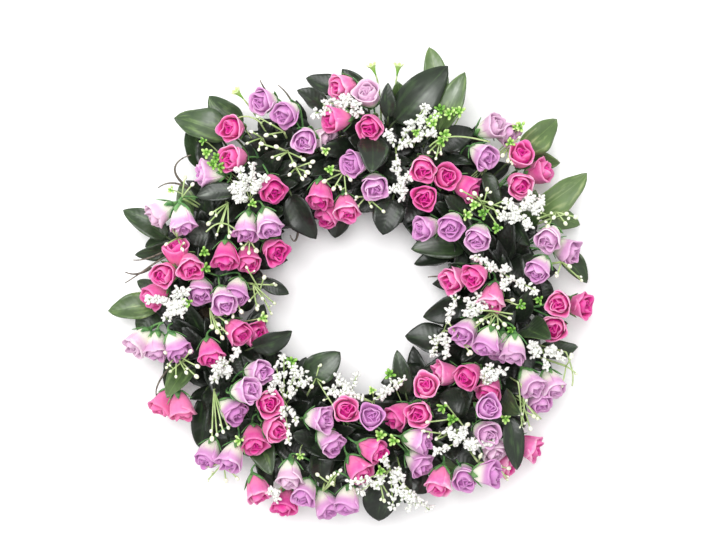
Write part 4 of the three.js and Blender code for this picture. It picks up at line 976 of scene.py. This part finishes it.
# Gypsophila
# Sprays of artificial gypsophila: thin pale wires that fork and carry crumbly clumps of tiny chalk-white
# florets, cut from rough white foam. Each spray's stem is bound to the vine.
SPRAY_LIFTS = np.array([8, 12, 4, 16, 20, 0, -4])
FORK_DEPTH = 4.0
BRANCH_ARCH = 3.0
BRANCH_STEPS = 20
CLUMPS = [(0.35, 3, 2.4), (0.6, 10, 3.7), (0.8, 8, 3.6), (1.0, 14, 4.9)]  # share of a branch, florets, reach
CLUMP_DEPTH = (0.35, 1.0)  # where in its clump's reach a floret lies
FLORET_SIZE = 1.65
FLORET_SIZES = (0.7, 1.25)  # as shares of it
FLORET_TURN = 0.5  # how far a floret is turned at random from facing outward
FLORET_SHAPES = 5
CRUMB_FORM = (0.85, 0.85, 1.25)
SWELLING = 3.0  # radius of a branch's swellings on the CAD node
SPRAY_STEM_WIRE = 0.8
SPRAY_RUN = 0.3  # share of the length from foot to hub that guides a stem straight out of the hub
BRANCH_WIRE = 0.5
FLORET_WIRE = 0.3

# How full a spray is, the pixel at which it forks, then the pixels of its branches' tips.
GYPSOPHILA = [
    (1.35, (250, 200), (233, 188), (240, 172), (253, 166), (263, 178), (238, 198)),
    (0.75, (354, 106), (345, 98), (329, 103), (316, 113), (356, 104)),
    (0.8, (396, 150), (388, 133), (410, 125), (432, 131), (424, 108), (396, 170), (401, 188), (408, 142)),
    (0.95, (520, 212), (508, 203), (530, 197), (541, 205), (515, 220), (529, 227), (504, 216)),
    (0.7, (500, 272), (476, 256), (490, 266), (506, 268), (505, 287), (521, 284), (535, 290)),
    (0.85, (542, 350), (532, 345), (534, 355), (547, 366), (553, 349), (561, 356)),
    (0.65, (444, 330), (455, 299), (451, 310), (434, 340), (446, 343), (433, 353), (446, 356)),
    (0.8, (462, 440), (448, 430), (455, 440), (437, 451), (474, 444), (488, 446), (463, 428)),
    (
        0.75, (390, 470), (384, 458), (396, 478), (399, 492), (393, 505), (412, 497), (362, 490), (352, 483),
        (376, 487),
    ),
    (
        0.5, (284, 400), (276, 366), (284, 357), (296, 372), (278, 376), (293, 390), (283, 415), (296, 421),
        (289, 441),
    ),
    (0.85, (228, 364), (238, 350), (229, 372), (215, 369), (215, 380), (221, 360)),
    (1.1, (172, 302), (150, 299), (160, 300), (178, 291), (172, 306), (186, 291), (184, 304)),
    (0.65, (372, 402), (338, 384), (345, 391), (333, 392), (385, 392), (392, 383), (403, 380)),
]

# Smaller sprays that only this model has, laid between the others.
FINE_SPRAYS = [
    (0.6, (173, 305), (173, 315), (166, 318), (181, 313)),
    (0.6, (470, 318), (470, 300), (478, 296), (485, 305), (467, 312), (477, 309)),
    (0.6, (482, 386), (485, 372), (494, 378), (502, 370), (491, 367)),
    (0.6, (404, 484), (404, 498), (416, 504), (429, 510), (397, 470), (410, 508)),
    (0.6, (297, 388), (302, 371), (307, 380), (292, 365)),
    (0.6, (268, 388), (276, 382), (271, 393)),
    (0.6, (281, 488), (275, 498), (269, 492)),
    (0.6, (418, 134), (427, 108), (433, 133), (437, 116), (421, 119)),
    (0.6, (350, 396), (346, 384), (356, 377), (338, 379), (330, 389)),
    (0.6, (462, 438), (462, 434), (471, 450), (482, 446), (492, 441)),
    (0.6, (247, 190), (236, 183), (247, 176), (258, 186), (241, 190)),
    (0.6, (533, 205), (535, 212), (541, 200), (523, 206), (514, 211)),
    (0.6, (338, 112), (338, 101), (349, 100), (324, 106), (360, 113)),
    (0.6, (404, 182), (392, 190), (402, 196), (409, 176), (399, 178)),
]


def ball(rows, columns):
    """A round ball of radius 1 at the origin, as rings closed by a point at each pole."""
    polar = np.linspace(0, np.pi, rows + 2)[1:-1, None]
    ring = round_axis(np.arange(columns) * 360 / columns, np.sin(polar), np.cos(polar))
    points = np.concatenate([ring.reshape(-1, 3), [[0, 0, 1.0], [0, 0, -1.0]]])
    quads = grid_quads(rows, columns, around=True)[:, ::-1]
    turn = np.arange(columns)
    after, top, low = (turn + 1) % columns, rows * columns, (rows - 1) * columns
    above = np.stack([turn, after, np.full(columns, top)], axis=-1)
    below = np.stack([after + low, turn + low, np.full(columns, top + 1)], axis=-1)
    return points, [quads, np.concatenate([above, below])], {}


def crumb(luck):
    """A tiny rough floret at the origin: a long ball whose points lie 0.75 to 1.2 out, at random."""
    points, faces, values = ball(4, 6)
    return points * luck.uniform(0.75, 1.2, (len(points), 1)) * CRUMB_FORM, faces, values


def any_way(count, luck):
    """Directions spread over all ways at random."""
    return unit(luck.normal(size=(count, 3)))


CHALKS = ((0.3, "#D2D4CC"), (0.6, "#F4F4F0"))
PALE_GREENS = ((0.3, "#8FAA62"), (0.7, "#C3D69A"))
chalk = grained("chalk_white", 0.95, CHALKS, spots=(700, 2), pores=(2200, 3), strength=0.35, depth=0.0004)
pale_wire = grained("pale_wire", 0.6, PALE_GREENS, spots=(90, 2), pores=(900, 2), strength=0.3, depth=0.0003)


def branches_to(ends, fork_place, count):
    """Paths of count points from one fork to each end, raised at the middle by the arch times 4t(1 - t)."""
    share = np.linspace(0, 1, count)[None, :, None]
    paths = fork_place[:, None] * (1 - share) + ends[:, None] * share
    paths[..., 2] += 4 * BRANCH_ARCH * share[..., 0] * (1 - share[..., 0])
    return paths


def below_on_vine(points, rise=60):
    """For each point, a foot on the vine's skin on the point's own side, not lower than an elevation, and
    the point straight out of it."""
    turn, out = ring_place(points)
    seen = np.degrees(np.arctan2(points[..., 2] - VINE_HEIGHT, out))
    elevation = np.clip(seen, rise, 180 - rise)
    return from_vine(turn, elevation, 0), from_vine(turn, elevation, HUB_CLEARANCE)


def tip_places(tips, lifts, corners_near, radius):
    """Where branches end: of the lifts over the dome, the one whose end has CAD corners at the given radius
    round it, or the first one where the CAD has no such branch."""
    tips = np.asarray(tips, float)
    heights = dome_height(tips)[:, None] + lifts
    choices = place(np.repeat(tips[:, None], len(lifts), axis=1), heights)
    if corners_near is None:
        return choices[:, 0]
    apart = np.linalg.norm(choices[:, :, None] - corners_near, axis=-1)
    fits = (np.abs(apart - radius) < SAME_PLACE).sum(axis=-1)
    return choices[np.arange(len(tips)), fits.argmax(axis=1)]


crumbs = [crumb(np.random.default_rng(kind)) for kind in range(FLORET_SHAPES)]
for number, (full, fork, *tips) in enumerate([*GYPSOPHILA, *FINE_SPRAYS]):
    packed = number < len(GYPSOPHILA)
    name = f"gypsophila_{number + 1:02d}"
    luck = np.random.default_rng(number + 400)
    fork_place = place([fork], dome_height([fork]) - FORK_DEPTH)
    node_corners = cad_corners(name) if packed else None
    ends = tip_places(tips, SPRAY_LIFTS, node_corners, SWELLING)
    if packed:
        foot, hub = (point[None] for point in foot_and_hub(node_corners))
    else:
        foot, hub = below_on_vine(fork_place)
    branches = branches_to(ends, fork_place, BRANCH_STEPS + 1)
    stem = coming_through(12, foot, hub + (hub - foot) * SPRAY_RUN, (hub + fork_place) / 2, fork_place)
    middles, reaches = [], []
    for share, count, reach in CLUMPS:
        own, count = branches[:, round(share * BRANCH_STEPS)], round(count * full)
        middles.append(np.repeat(own, count, axis=0))
        reaches.append(np.full(len(own) * count, reach))
    middles, reaches = np.concatenate(middles), np.concatenate(reaches)
    ways = any_way(len(middles), luck)
    spots = middles + ways * (reaches * luck.uniform(*CLUMP_DEPTH, len(middles)))[:, None]
    facing = unit(ways + any_way(len(middles), luck) * FLORET_TURN)
    sizes = FLORET_SIZE * luck.uniform(*FLORET_SIZES, len(middles))
    turns = luck.uniform(0, 360, len(middles))
    florets = []
    for k, shape in enumerate(crumbs):
        own = slice(k, None, FLORET_SHAPES)
        florets.append(set_up(shape, spots[own], facing[own], turns[own], sizes[own]))
    threads = np.stack([middles, spots], axis=1)
    make_piece(f"florets_{name}", florets, chalk, "gypsophila", *([name] if packed else []))
    parts = [tubes(stem, SPRAY_STEM_WIRE, 6), tubes(branches, BRANCH_WIRE, 5)]
    parts.append(tubes(threads[::2], FLORET_WIRE, 3))
    make_piece(f"wires_{name}", parts, pale_wire, "gypsophila")

# Berry sprigs
# Light green plastic sprigs: branched wires, each tip with a cream-white ball, that grow from the leafy stems
# and stand a little over the rosebuds.
SPRIG_LIFTS = np.array([6, 10, 2, 14, -2, 18])
BERRY_RADIUS = 2.1  # on the CAD node
BERRY_SIZE = 1.85
BERRY_SIZES = (0.7, 1.2)  # as shares of it
BERRY_FORM = (1, 1, 1.25)
BERRY_SEAT = 0.6  # its middle lies this far past the end of its wire
TWIN_REACH = 4.5  # every other ball has a smaller one on a side wire
TWIN_SIZE = 0.7  # share of the ball's own
TWIN_TURN = 1.2  # how far a side wire is turned at random from the ball's own way
SPRIG_STEM_WIRE = 1.0
SPRIG_RISE = 6  # how far up a stem is guided at its root
SPRIG_ARCH = 4  # how far it is raised half way
BALL_WIRE = 0.72
TWIN_WIRE = 0.5
LONG_WIRE = 0.7
LONG_WIRE_RISE = 8  # how far it is guided straight up at its root and under its start

# The pixel at which a sprig forks, then the pixels of its balls.
SPRIGS = [
    ((284, 132), (258, 117), (271, 124), (267, 135)),
    ((288, 152), (262, 144), (273, 157), (279, 158), (277, 147), (294, 164), (302, 178), (303, 159)),
    ((344, 172), (333, 170), (325, 181), (334, 188), (350, 179), (346, 193)),
    ((366, 197), (357, 197), (358, 206), (371, 206), (383, 211)),
    ((440, 141), (429, 152), (441, 153), (436, 158)),
    ((483, 205), (469, 199), (475, 194), (487, 190), (497, 211), (499, 228), (484, 214)),
    ((508, 149), (503, 155), (508, 160), (512, 163), (519, 138)),
    ((556, 212), (554, 217), (565, 223), (575, 217), (539, 218)),
    ((561, 262), (557, 275), (569, 266), (581, 280)),
    ((497, 313), (482, 320), (487, 328), (498, 327), (509, 318)),
    ((457, 418), (437, 438), (428, 422), (465, 428), (446, 404)),
    ((228, 203), (212, 213), (209, 223), (222, 225), (217, 234), (229, 236)),
    ((253, 284), (275, 285), (262, 298), (257, 308), (274, 303)),
    ((210, 309), (212, 326), (217, 331), (222, 337), (226, 322)),
    ((177, 355), (167, 367), (176, 376), (186, 372), (197, 366)),
    ((214, 390), (212, 438), (217, 434), (223, 431), (228, 427)),
    ((224, 462), (208, 480), (226, 480), (237, 478), (204, 468)),
    ((323, 491), (331, 484), (334, 474), (340, 471)),
    ((379, 478), (384, 500), (388, 494), (381, 470)),
    ((492, 458), (507, 479), (500, 466), (490, 469)),
    ((521, 398), (530, 428), (537, 418), (519, 413)),
    ((250, 240), (243, 248), (249, 252), (256, 250)),
]

# Smaller sprigs that only this model has.
FINE_SPRIGS = [
    ((478, 200), (462, 191), (481, 196), (504, 208), (490, 203)),
    ((552, 218), (536, 210), (566, 214), (548, 226)),
    ((260, 290), (247, 268), (250, 300), (271, 313), (264, 278)),
    ((213, 318), (222, 307), (218, 324), (227, 333)),
    ((182, 362), (166, 353), (196, 376), (171, 371), (190, 352)),
    ((178, 238), (177, 233), (167, 244), (182, 249), (172, 229)),
    ((462, 343), (470, 352), (478, 350), (449, 323)),
    ((448, 434), (467, 425), (437, 439), (424, 431)),
    ((478, 462), (480, 457), (490, 468), (497, 463), (493, 474), (508, 468)),
    ((316, 378), (319, 366), (323, 382), (333, 405), (312, 386)),
    ((334, 486), (333, 483), (318, 475), (328, 478)),
    ((520, 408), (526, 401), (533, 416), (522, 428)),
    ((566, 366), (571, 357), (562, 385), (576, 373)),
    ((296, 168), (307, 172), (290, 174), (312, 162)),
    ((262, 138), (252, 132), (259, 149), (248, 143)),
    ((492, 206), (484, 215), (498, 217), (505, 200)),
    ((504, 300), (494, 305), (512, 300), (520, 306)),
    ((236, 300), (228, 306), (241, 311), (233, 316)),
    ((182, 198), (185, 178), (192, 185)),
    ((492, 312), (478, 322), (504, 324), (488, 338), (472, 330)),
]

# Long wires that arch over the blooms: four guide pixels each, and how high they stand over the dome.
LONG_WIRES = [
    ((430, 146), (444, 131), (470, 137), (490, 142), 9),
    ((478, 311), (490, 309), (502, 313), (513, 314), 9),
    ((518, 382), (521, 396), (519, 408), (524, 422), 4),
    ((521, 384), (524, 398), (526, 410), (521, 421), 4),
    ((528, 406), (533, 411), (537, 415), (541, 419), 2),
    ((566, 352), (571, 364), (575, 376), (572, 386), 2),
    ((238, 118), (247, 114), (256, 118), (262, 124), 5),
    ((236, 230), (222, 218), (214, 224), (206, 232), 8),
]

CREAMS = ((0.3, "#D5E0B4"), (0.6, "#F6F7E6"))
cream = grained("cream_ball", 0.45, CREAMS, spots=(260, 2), pores=(1300, 2), strength=0.3, depth=0.0003)

points, faces, values = ball(5, 8)
berry = points * BERRY_FORM, faces, values
berries, sprig_wires = [], []
all_corners = np.concatenate(list(corners.values()))
for number, (fork, *tips) in enumerate([*SPRIGS, *FINE_SPRIGS]):
    luck = np.random.default_rng(number + 600)
    fork_place = place([fork], dome_height([fork]) - FORK_DEPTH)
    ends = tip_places(tips, SPRIG_LIFTS, all_corners if number < len(SPRIGS) else None, BERRY_RADIUS)
    root = root_under(fork_place)
    stalks = branches_to(ends, fork_place, 9)
    middle = (root + fork_place) / 2 + [0, 0, SPRIG_ARCH]
    stem = coming_through(10, root, root + [0, 0, SPRIG_RISE], middle, fork_place)
    beside = stalks[:, -3]
    ways = unit(ends - beside)
    sizes = BERRY_SIZE * luck.uniform(*BERRY_SIZES, len(ends))
    berries.append(set_up(berry, ends + ways * BERRY_SEAT, ways, np.zeros(len(ends)), sizes))
    aside = unit(ways + any_way(len(ends), luck) * TWIN_TURN)
    side_wires = np.stack([beside, beside + aside * TWIN_REACH], axis=1)[::2]
    no_spin = np.zeros(len(side_wires))
    berries.append(set_up(berry, side_wires[:, 1], aside[::2], no_spin, sizes[::2] * TWIN_SIZE))
    sprig_wires += [tubes(stem, SPRIG_STEM_WIRE, 6), tubes(stalks, BALL_WIRE, 5)]
    sprig_wires.append(tubes(side_wires, TWIN_WIRE, 4))
for *pixels, over in LONG_WIRES:
    arch = coming_through(14, *(place([pixel], dome_height([pixel]) + over) for pixel in pixels))
    root, start = root_under(arch[:, 0]), arch[:, 0]
    rise = np.array([0, 0, LONG_WIRE_RISE])
    down = coming_through(8, root, root + rise, start - rise, start)
    sprig_wires += [tubes(arch, LONG_WIRE, 6), tubes(down, LONG_WIRE, 5)]
make_piece("berry_balls", berries, cream, "leaf")
make_piece("berry_wires", sprig_wires, pale_wire, "leaf")

# Green florets and twigs
# Bright green plastic florets of six lobes, a few longer ones on stems over the rim, and dry grey-brown
# twigs that stick out of the wreath on its left. They are pushed in between the leafy stems.
FLORET_RADIUS = 6.3
FLORET_RADII = (0.75, 1.1)  # as shares of it
FLORET_FADE = (-0.1, 0.5)  # how pale one is at its middle
FLORET_LEAN = 0.55  # how far one leans at random
FLORET_RISE = 7.0  # over the dome of blooms
FLORET_STEM_WIRE = 0.6
FLORET_NECK = 12  # how far a stem runs straight on behind its floret
LOBES = 6
LOBE_FORM = (0.13, 0.27, 0.40)
LOBE_MIDDLE = 0.60  # how far out of the floret's middle
LOBE_LEANS = (72, 38)  # by turns
TRUMPET_SIZE = 5.5
TRUMPET_LENGTH = 7.0  # from its throat to the pixel of its mouth
TRUMPET_NECK = 20
TRUMPET_SPINS = (0, 40, 80)
TRUMPET_FADE = 0.4
TRUMPET_HEIGHT = 46.0
TRUMPET_ROOT_HEIGHT = 34.0
TRUMPET_WIRE = 0.8
TWIG_HEIGHTS = (30, 33, 36, 39)
TWIG_FOOT = 20  # its root is let down to this height
TWIG_RADII = (1.3, 0.5)
TWIG_POINTS = 16

# Pixels of open florets.
GREEN_FLORETS = [
    (455, 111), (450, 114), (437, 117), (433, 124), (440, 110), (516, 128), (213, 165), (172, 190),
    (204, 141), (207, 153), (219, 167), (252, 204), (460, 112), (521, 127), (430, 120), (416, 132),
    (442, 142), (510, 143), (466, 215), (484, 214), (498, 228), (520, 305), (204, 252), (205, 268),
    (188, 302), (291, 362), (372, 390), (390, 375), (380, 436), (443, 407), (452, 420), (380, 470),
    (475, 205), (217, 158), (326, 150), (512, 330), (394, 440), (300, 455), (262, 318), (444, 135),
    (330, 170), (540, 300), (240, 440), (505, 418),
]

# Long florets like trumpets, on stems over the rim: the pixel of the mouth, and one further down the stem.
TRUMPETS = [((238, 93), (256, 112)), ((373, 68), (386, 100)), ((398, 68), (393, 104))]

# Four guide pixels of each twig, from its root to its tip.
TWIGS = [
    ((186, 240), (170, 247), (150, 262), (133, 260)),
    ((186, 250), (165, 252), (150, 268), (125, 283)),
    ((150, 268), (141, 274), (134, 276), (125, 272)),
    ((185, 352), (163, 372), (151, 388), (158, 400)),
    ((196, 196), (180, 178), (165, 182), (158, 188)),
    ((285, 118), (265, 90), (262, 85), (260, 80)),
    ((186, 186), (164, 170), (178, 158), (191, 155)),
    ((300, 120), (292, 100), (288, 93), (278, 85)),
    ((300, 215), (297, 250), (293, 242), (290, 235)),
    ((460, 280), (443, 276), (436, 276), (428, 277)),
]


def open_floret():
    """A small umbel on the z axis, about 1 in radius: fat oval lobes spread from its middle, every other one
    raised higher. It holds how far out of the middle each point lies."""
    middle, faces, _ = ball(3, 6)
    parts = [(middle * 0.24 + [0, 0, 0.1], faces, {"heart": np.zeros(len(middle))})]
    shape, faces, _ = ball(4, 6)
    lobe = shape * LOBE_FORM + [0, 0, LOBE_MIDDLE]
    for k in range(LOBES):
        lean = np.radians(LOBE_LEANS[k % 2])
        out = lobe[:, 2] * np.sin(lean) + lobe[:, 0] * np.cos(lean)
        up = lobe[:, 2] * np.cos(lean) - lobe[:, 0] * np.sin(lean)
        turn = 2 * np.pi * k / LOBES
        x = out * np.cos(turn) - lobe[:, 1] * np.sin(turn)
        y = out * np.sin(turn) + lobe[:, 1] * np.cos(turn)
        parts.append((np.stack([x, y, up], axis=-1), faces, {"heart": (lobe[:, 2] - 0.2) / 0.8}))
    return joined(parts)


def trumpet():
    """A narrow bell on the z axis, 2 long: its reach is 0.14 + 0.62 v^1.6 at v of its height, and its rim is
    cut into six teeth that turn out."""
    v, a = np.meshgrid(np.linspace(0, 1, 8), np.linspace(0, 360, 37), indexing="ij")
    teeth = np.abs(np.cos(np.radians(3 * a)))
    reach = 0.14 + 0.62 * v**1.6 + 0.22 * v**8 * teeth
    surface = round_axis(a, reach, 2.0 * v * (1 - 0.16 * (1 - teeth) * v**5))
    return shell(surface[None], 0.1, heart=v**2)


FLORET_COLOURS = ((0.15, "#558E2C"), (0.5, "#84BA4C"), (0.8, "#B8DC7C"), (1.0, "#DEF0B4"))
floret_green, tree, shader = plain_material("floret_green", 0.45)
outward_light = computed(tree, "MULTIPLY", held_value(tree, "heart"), 0.6)
shade = computed(tree, "ADD", held_value(tree, "faded"), outward_light)
tree.links.new(colour_ramp(tree, shade, *FLORET_COLOURS), shader.inputs["Base Color"])
add_bump(tree, shader, grain(tree, 900, 2), 0.4, 0.0004)

luck = np.random.default_rng(77)
spots = place(GREEN_FLORETS, dome_height(GREEN_FLORETS) + FLORET_RISE)
facing = unit(np.array([0, 0, 1.0]) + any_way(len(spots), luck) * FLORET_LEAN)
sizes = FLORET_RADIUS * luck.uniform(*FLORET_RADII, len(spots))
faded = luck.uniform(*FLORET_FADE, len(spots))
open_ones = set_up(open_floret(), spots, facing, luck.uniform(0, 360, len(spots)), sizes, faded=faded)
mouths = place([tip for tip, _ in TRUMPETS], TRUMPET_HEIGHT)
lower = place([root for _, root in TRUMPETS], TRUMPET_ROOT_HEIGHT)
ways = unit(mouths - lower)
throats = mouths - ways * TRUMPET_LENGTH
even = np.ones(len(TRUMPETS))
trumpets = set_up(trumpet(), throats, ways, TRUMPET_SPINS, even * TRUMPET_SIZE, faded=even * TRUMPET_FADE)
make_piece("green_florets", [open_ones, trumpets], floret_green, "leaf")
feet, hubs = below_on_vine(spots, rise=45)
floret_stems = coming_through(9, feet, hubs, spots - facing * FLORET_NECK, spots)
feet, hubs = below_on_vine(lower, rise=20)
trumpet_stems = coming_through(12, feet, hubs, mouths - ways * TRUMPET_NECK, throats)
stems = [tubes(floret_stems, FLORET_STEM_WIRE, 5), tubes(trumpet_stems, TRUMPET_WIRE, 6)]
make_piece("floret_wires", stems, pale_wire, "leaf")

DRY_GREYS = ((0.3, "#4A433B"), (0.7, "#8B8275"))
twig_bark = grained("twig_bark", 0.9, DRY_GREYS, spots=(300, 3), pores=(700, 3), strength=0.6, depth=0.0006)
guides = [place([twig[k] for twig in TWIGS], height) for k, height in enumerate(TWIG_HEIGHTS)]
guides[0][:, 2] = TWIG_FOOT
twigs = coming_through(TWIG_POINTS, *guides)
make_piece("twigs", [tubes(twigs, np.linspace(*TWIG_RADII, TWIG_POINTS)[None], 6)], twig_bark, "vine")

# Small dark leaves
# The real wreath is stuffed with small dark leaves, low down between its stems, which hide the vine from the
# front and the sides. They are of the same satin, painted near black as painted shade since they lie deep
# among the stems, and grow from the leafy stems and from the vine.
UNDER_LEAVES = 420  # at most
UNDER_TRIES = 6000
UNDER_ELEVATIONS = (-8, 188)  # of a leaf's root, seen from the vine's centreline
UNDER_GATHERED = 0.6  # every other root keeps this share of its distance from the vine's top
UNDER_TURN = 25  # how far a leaf rises or falls from its root's elevation
UNDER_SWEEP = 62
GATHERED_SWEEPS = (50, 84)  # those lie along the vine
UNDER_LENGTHS = (26, 44)
UNDER_WIDTHS = (14, 23)
UNDER_ROLL = 35
UNDER_STALKS = (3, 12)
UNDER_STALK_WIRE = 0.7
UNDER_CLEAR = 11.5  # from the middle of a rosebud
UNDER_SPACING = 7.6
UNDER_REACH = (-68, 60)
UNDER_FLOOR = 1.5
UNDER_DOME = 2  # how far a tip stays below the dome of blooms
# Painted shade: the small leaves are painted near black, as they lie low in shade, and differ at random
# within this.
UNDER_SHADED_TONES = (0.0, 0.24)

luck = np.random.default_rng(11)
turns = luck.uniform(0, 360, UNDER_TRIES)
elevations = luck.uniform(*UNDER_ELEVATIONS, UNDER_TRIES)
gathered = np.arange(UNDER_TRIES) % 2 == 0
elevations[gathered] = 90 + (elevations[gathered] - 90) * UNDER_GATHERED
rises = np.radians(elevations + luck.uniform(-UNDER_TURN, UNDER_TURN, UNDER_TRIES))
sweeps = luck.uniform(-UNDER_SWEEP, UNDER_SWEEP, UNDER_TRIES)
sweeps[gathered] = luck.choice([-1, 1], gathered.sum()) * luck.uniform(*GATHERED_SWEEPS, gathered.sum())
sweeps = np.radians(sweeps)
lengths = luck.uniform(*UNDER_LENGTHS, UNDER_TRIES)
widths = luck.uniform(*UNDER_WIDTHS, UNDER_TRIES)
rolls = luck.uniform(-UNDER_ROLL, UNDER_ROLL, UNDER_TRIES)
roots = from_vine(turns, elevations, 1.0)
outward = round_axis(turns, 1, 0)
tangent = round_axis(turns + 90, 1, 0)
ways = outward * (np.cos(rises) * np.cos(sweeps))[:, None] + tangent * np.sin(sweeps)[:, None]
ways[:, 2] += np.sin(rises) * np.cos(sweeps)
bases = roots + ways * luck.uniform(*UNDER_STALKS, UNDER_TRIES)[:, None]
tips = bases + ways * lengths[:, None]

# A leaf is left out where it would be too near a rosebud, the floor or the dome, or reach too far.
along, across = (grid.reshape(1, -1) for grid in np.meshgrid([0.15, 0.4, 0.65, 1.0], [-0.8, 0.0, 0.8]))
spread = blade_points(bases[:, None], tips[:, None], widths[:, None], rolls[:, None], along, across)
crowded = np.linalg.norm(spread[:, :, None] - bud_middles, axis=-1).min(axis=(1, 2)) < UNDER_CLEAR
reach = ring_place(tips)[1]
pixels = VIEW_CENTRE + (tips[:, :2] - EYE) * [1, -1] / PIXEL
wrong = crowded | (spread[..., 2].min(axis=1) < UNDER_FLOOR) | (tips[:, 2] > dome_height(pixels) - UNDER_DOME)
wrong = wrong | (reach < UNDER_REACH[0]) | (reach > UNDER_REACH[1])
middles = (bases + tips) / 2
chosen = []
for number in np.flatnonzero(~wrong):
    apart = np.linalg.norm(middles[chosen] - middles[number], axis=1)
    if len(chosen) < UNDER_LEAVES and (apart > UNDER_SPACING).all():
        chosen.append(number)
tones = luck.uniform(*UNDER_SHADED_TONES, UNDER_TRIES)
small = [(bases[k], tips[k], widths[k], rolls[k], tones[k], *NO_SHEEN) for k in chosen]
make_piece("small_leaves", [leaf_part(small, 9, 5)], leaf_cloth, "leaf")
feet, ends = roots[chosen], bases[chosen]
small_stalks = coming_through(5, feet, feet + (ends - feet) / 3, feet + (ends - feet) / 1.5, ends)
make_piece("small_leaf_stalks", [tubes(small_stalks, UNDER_STALK_WIRE, 5)], wire, "leaf")
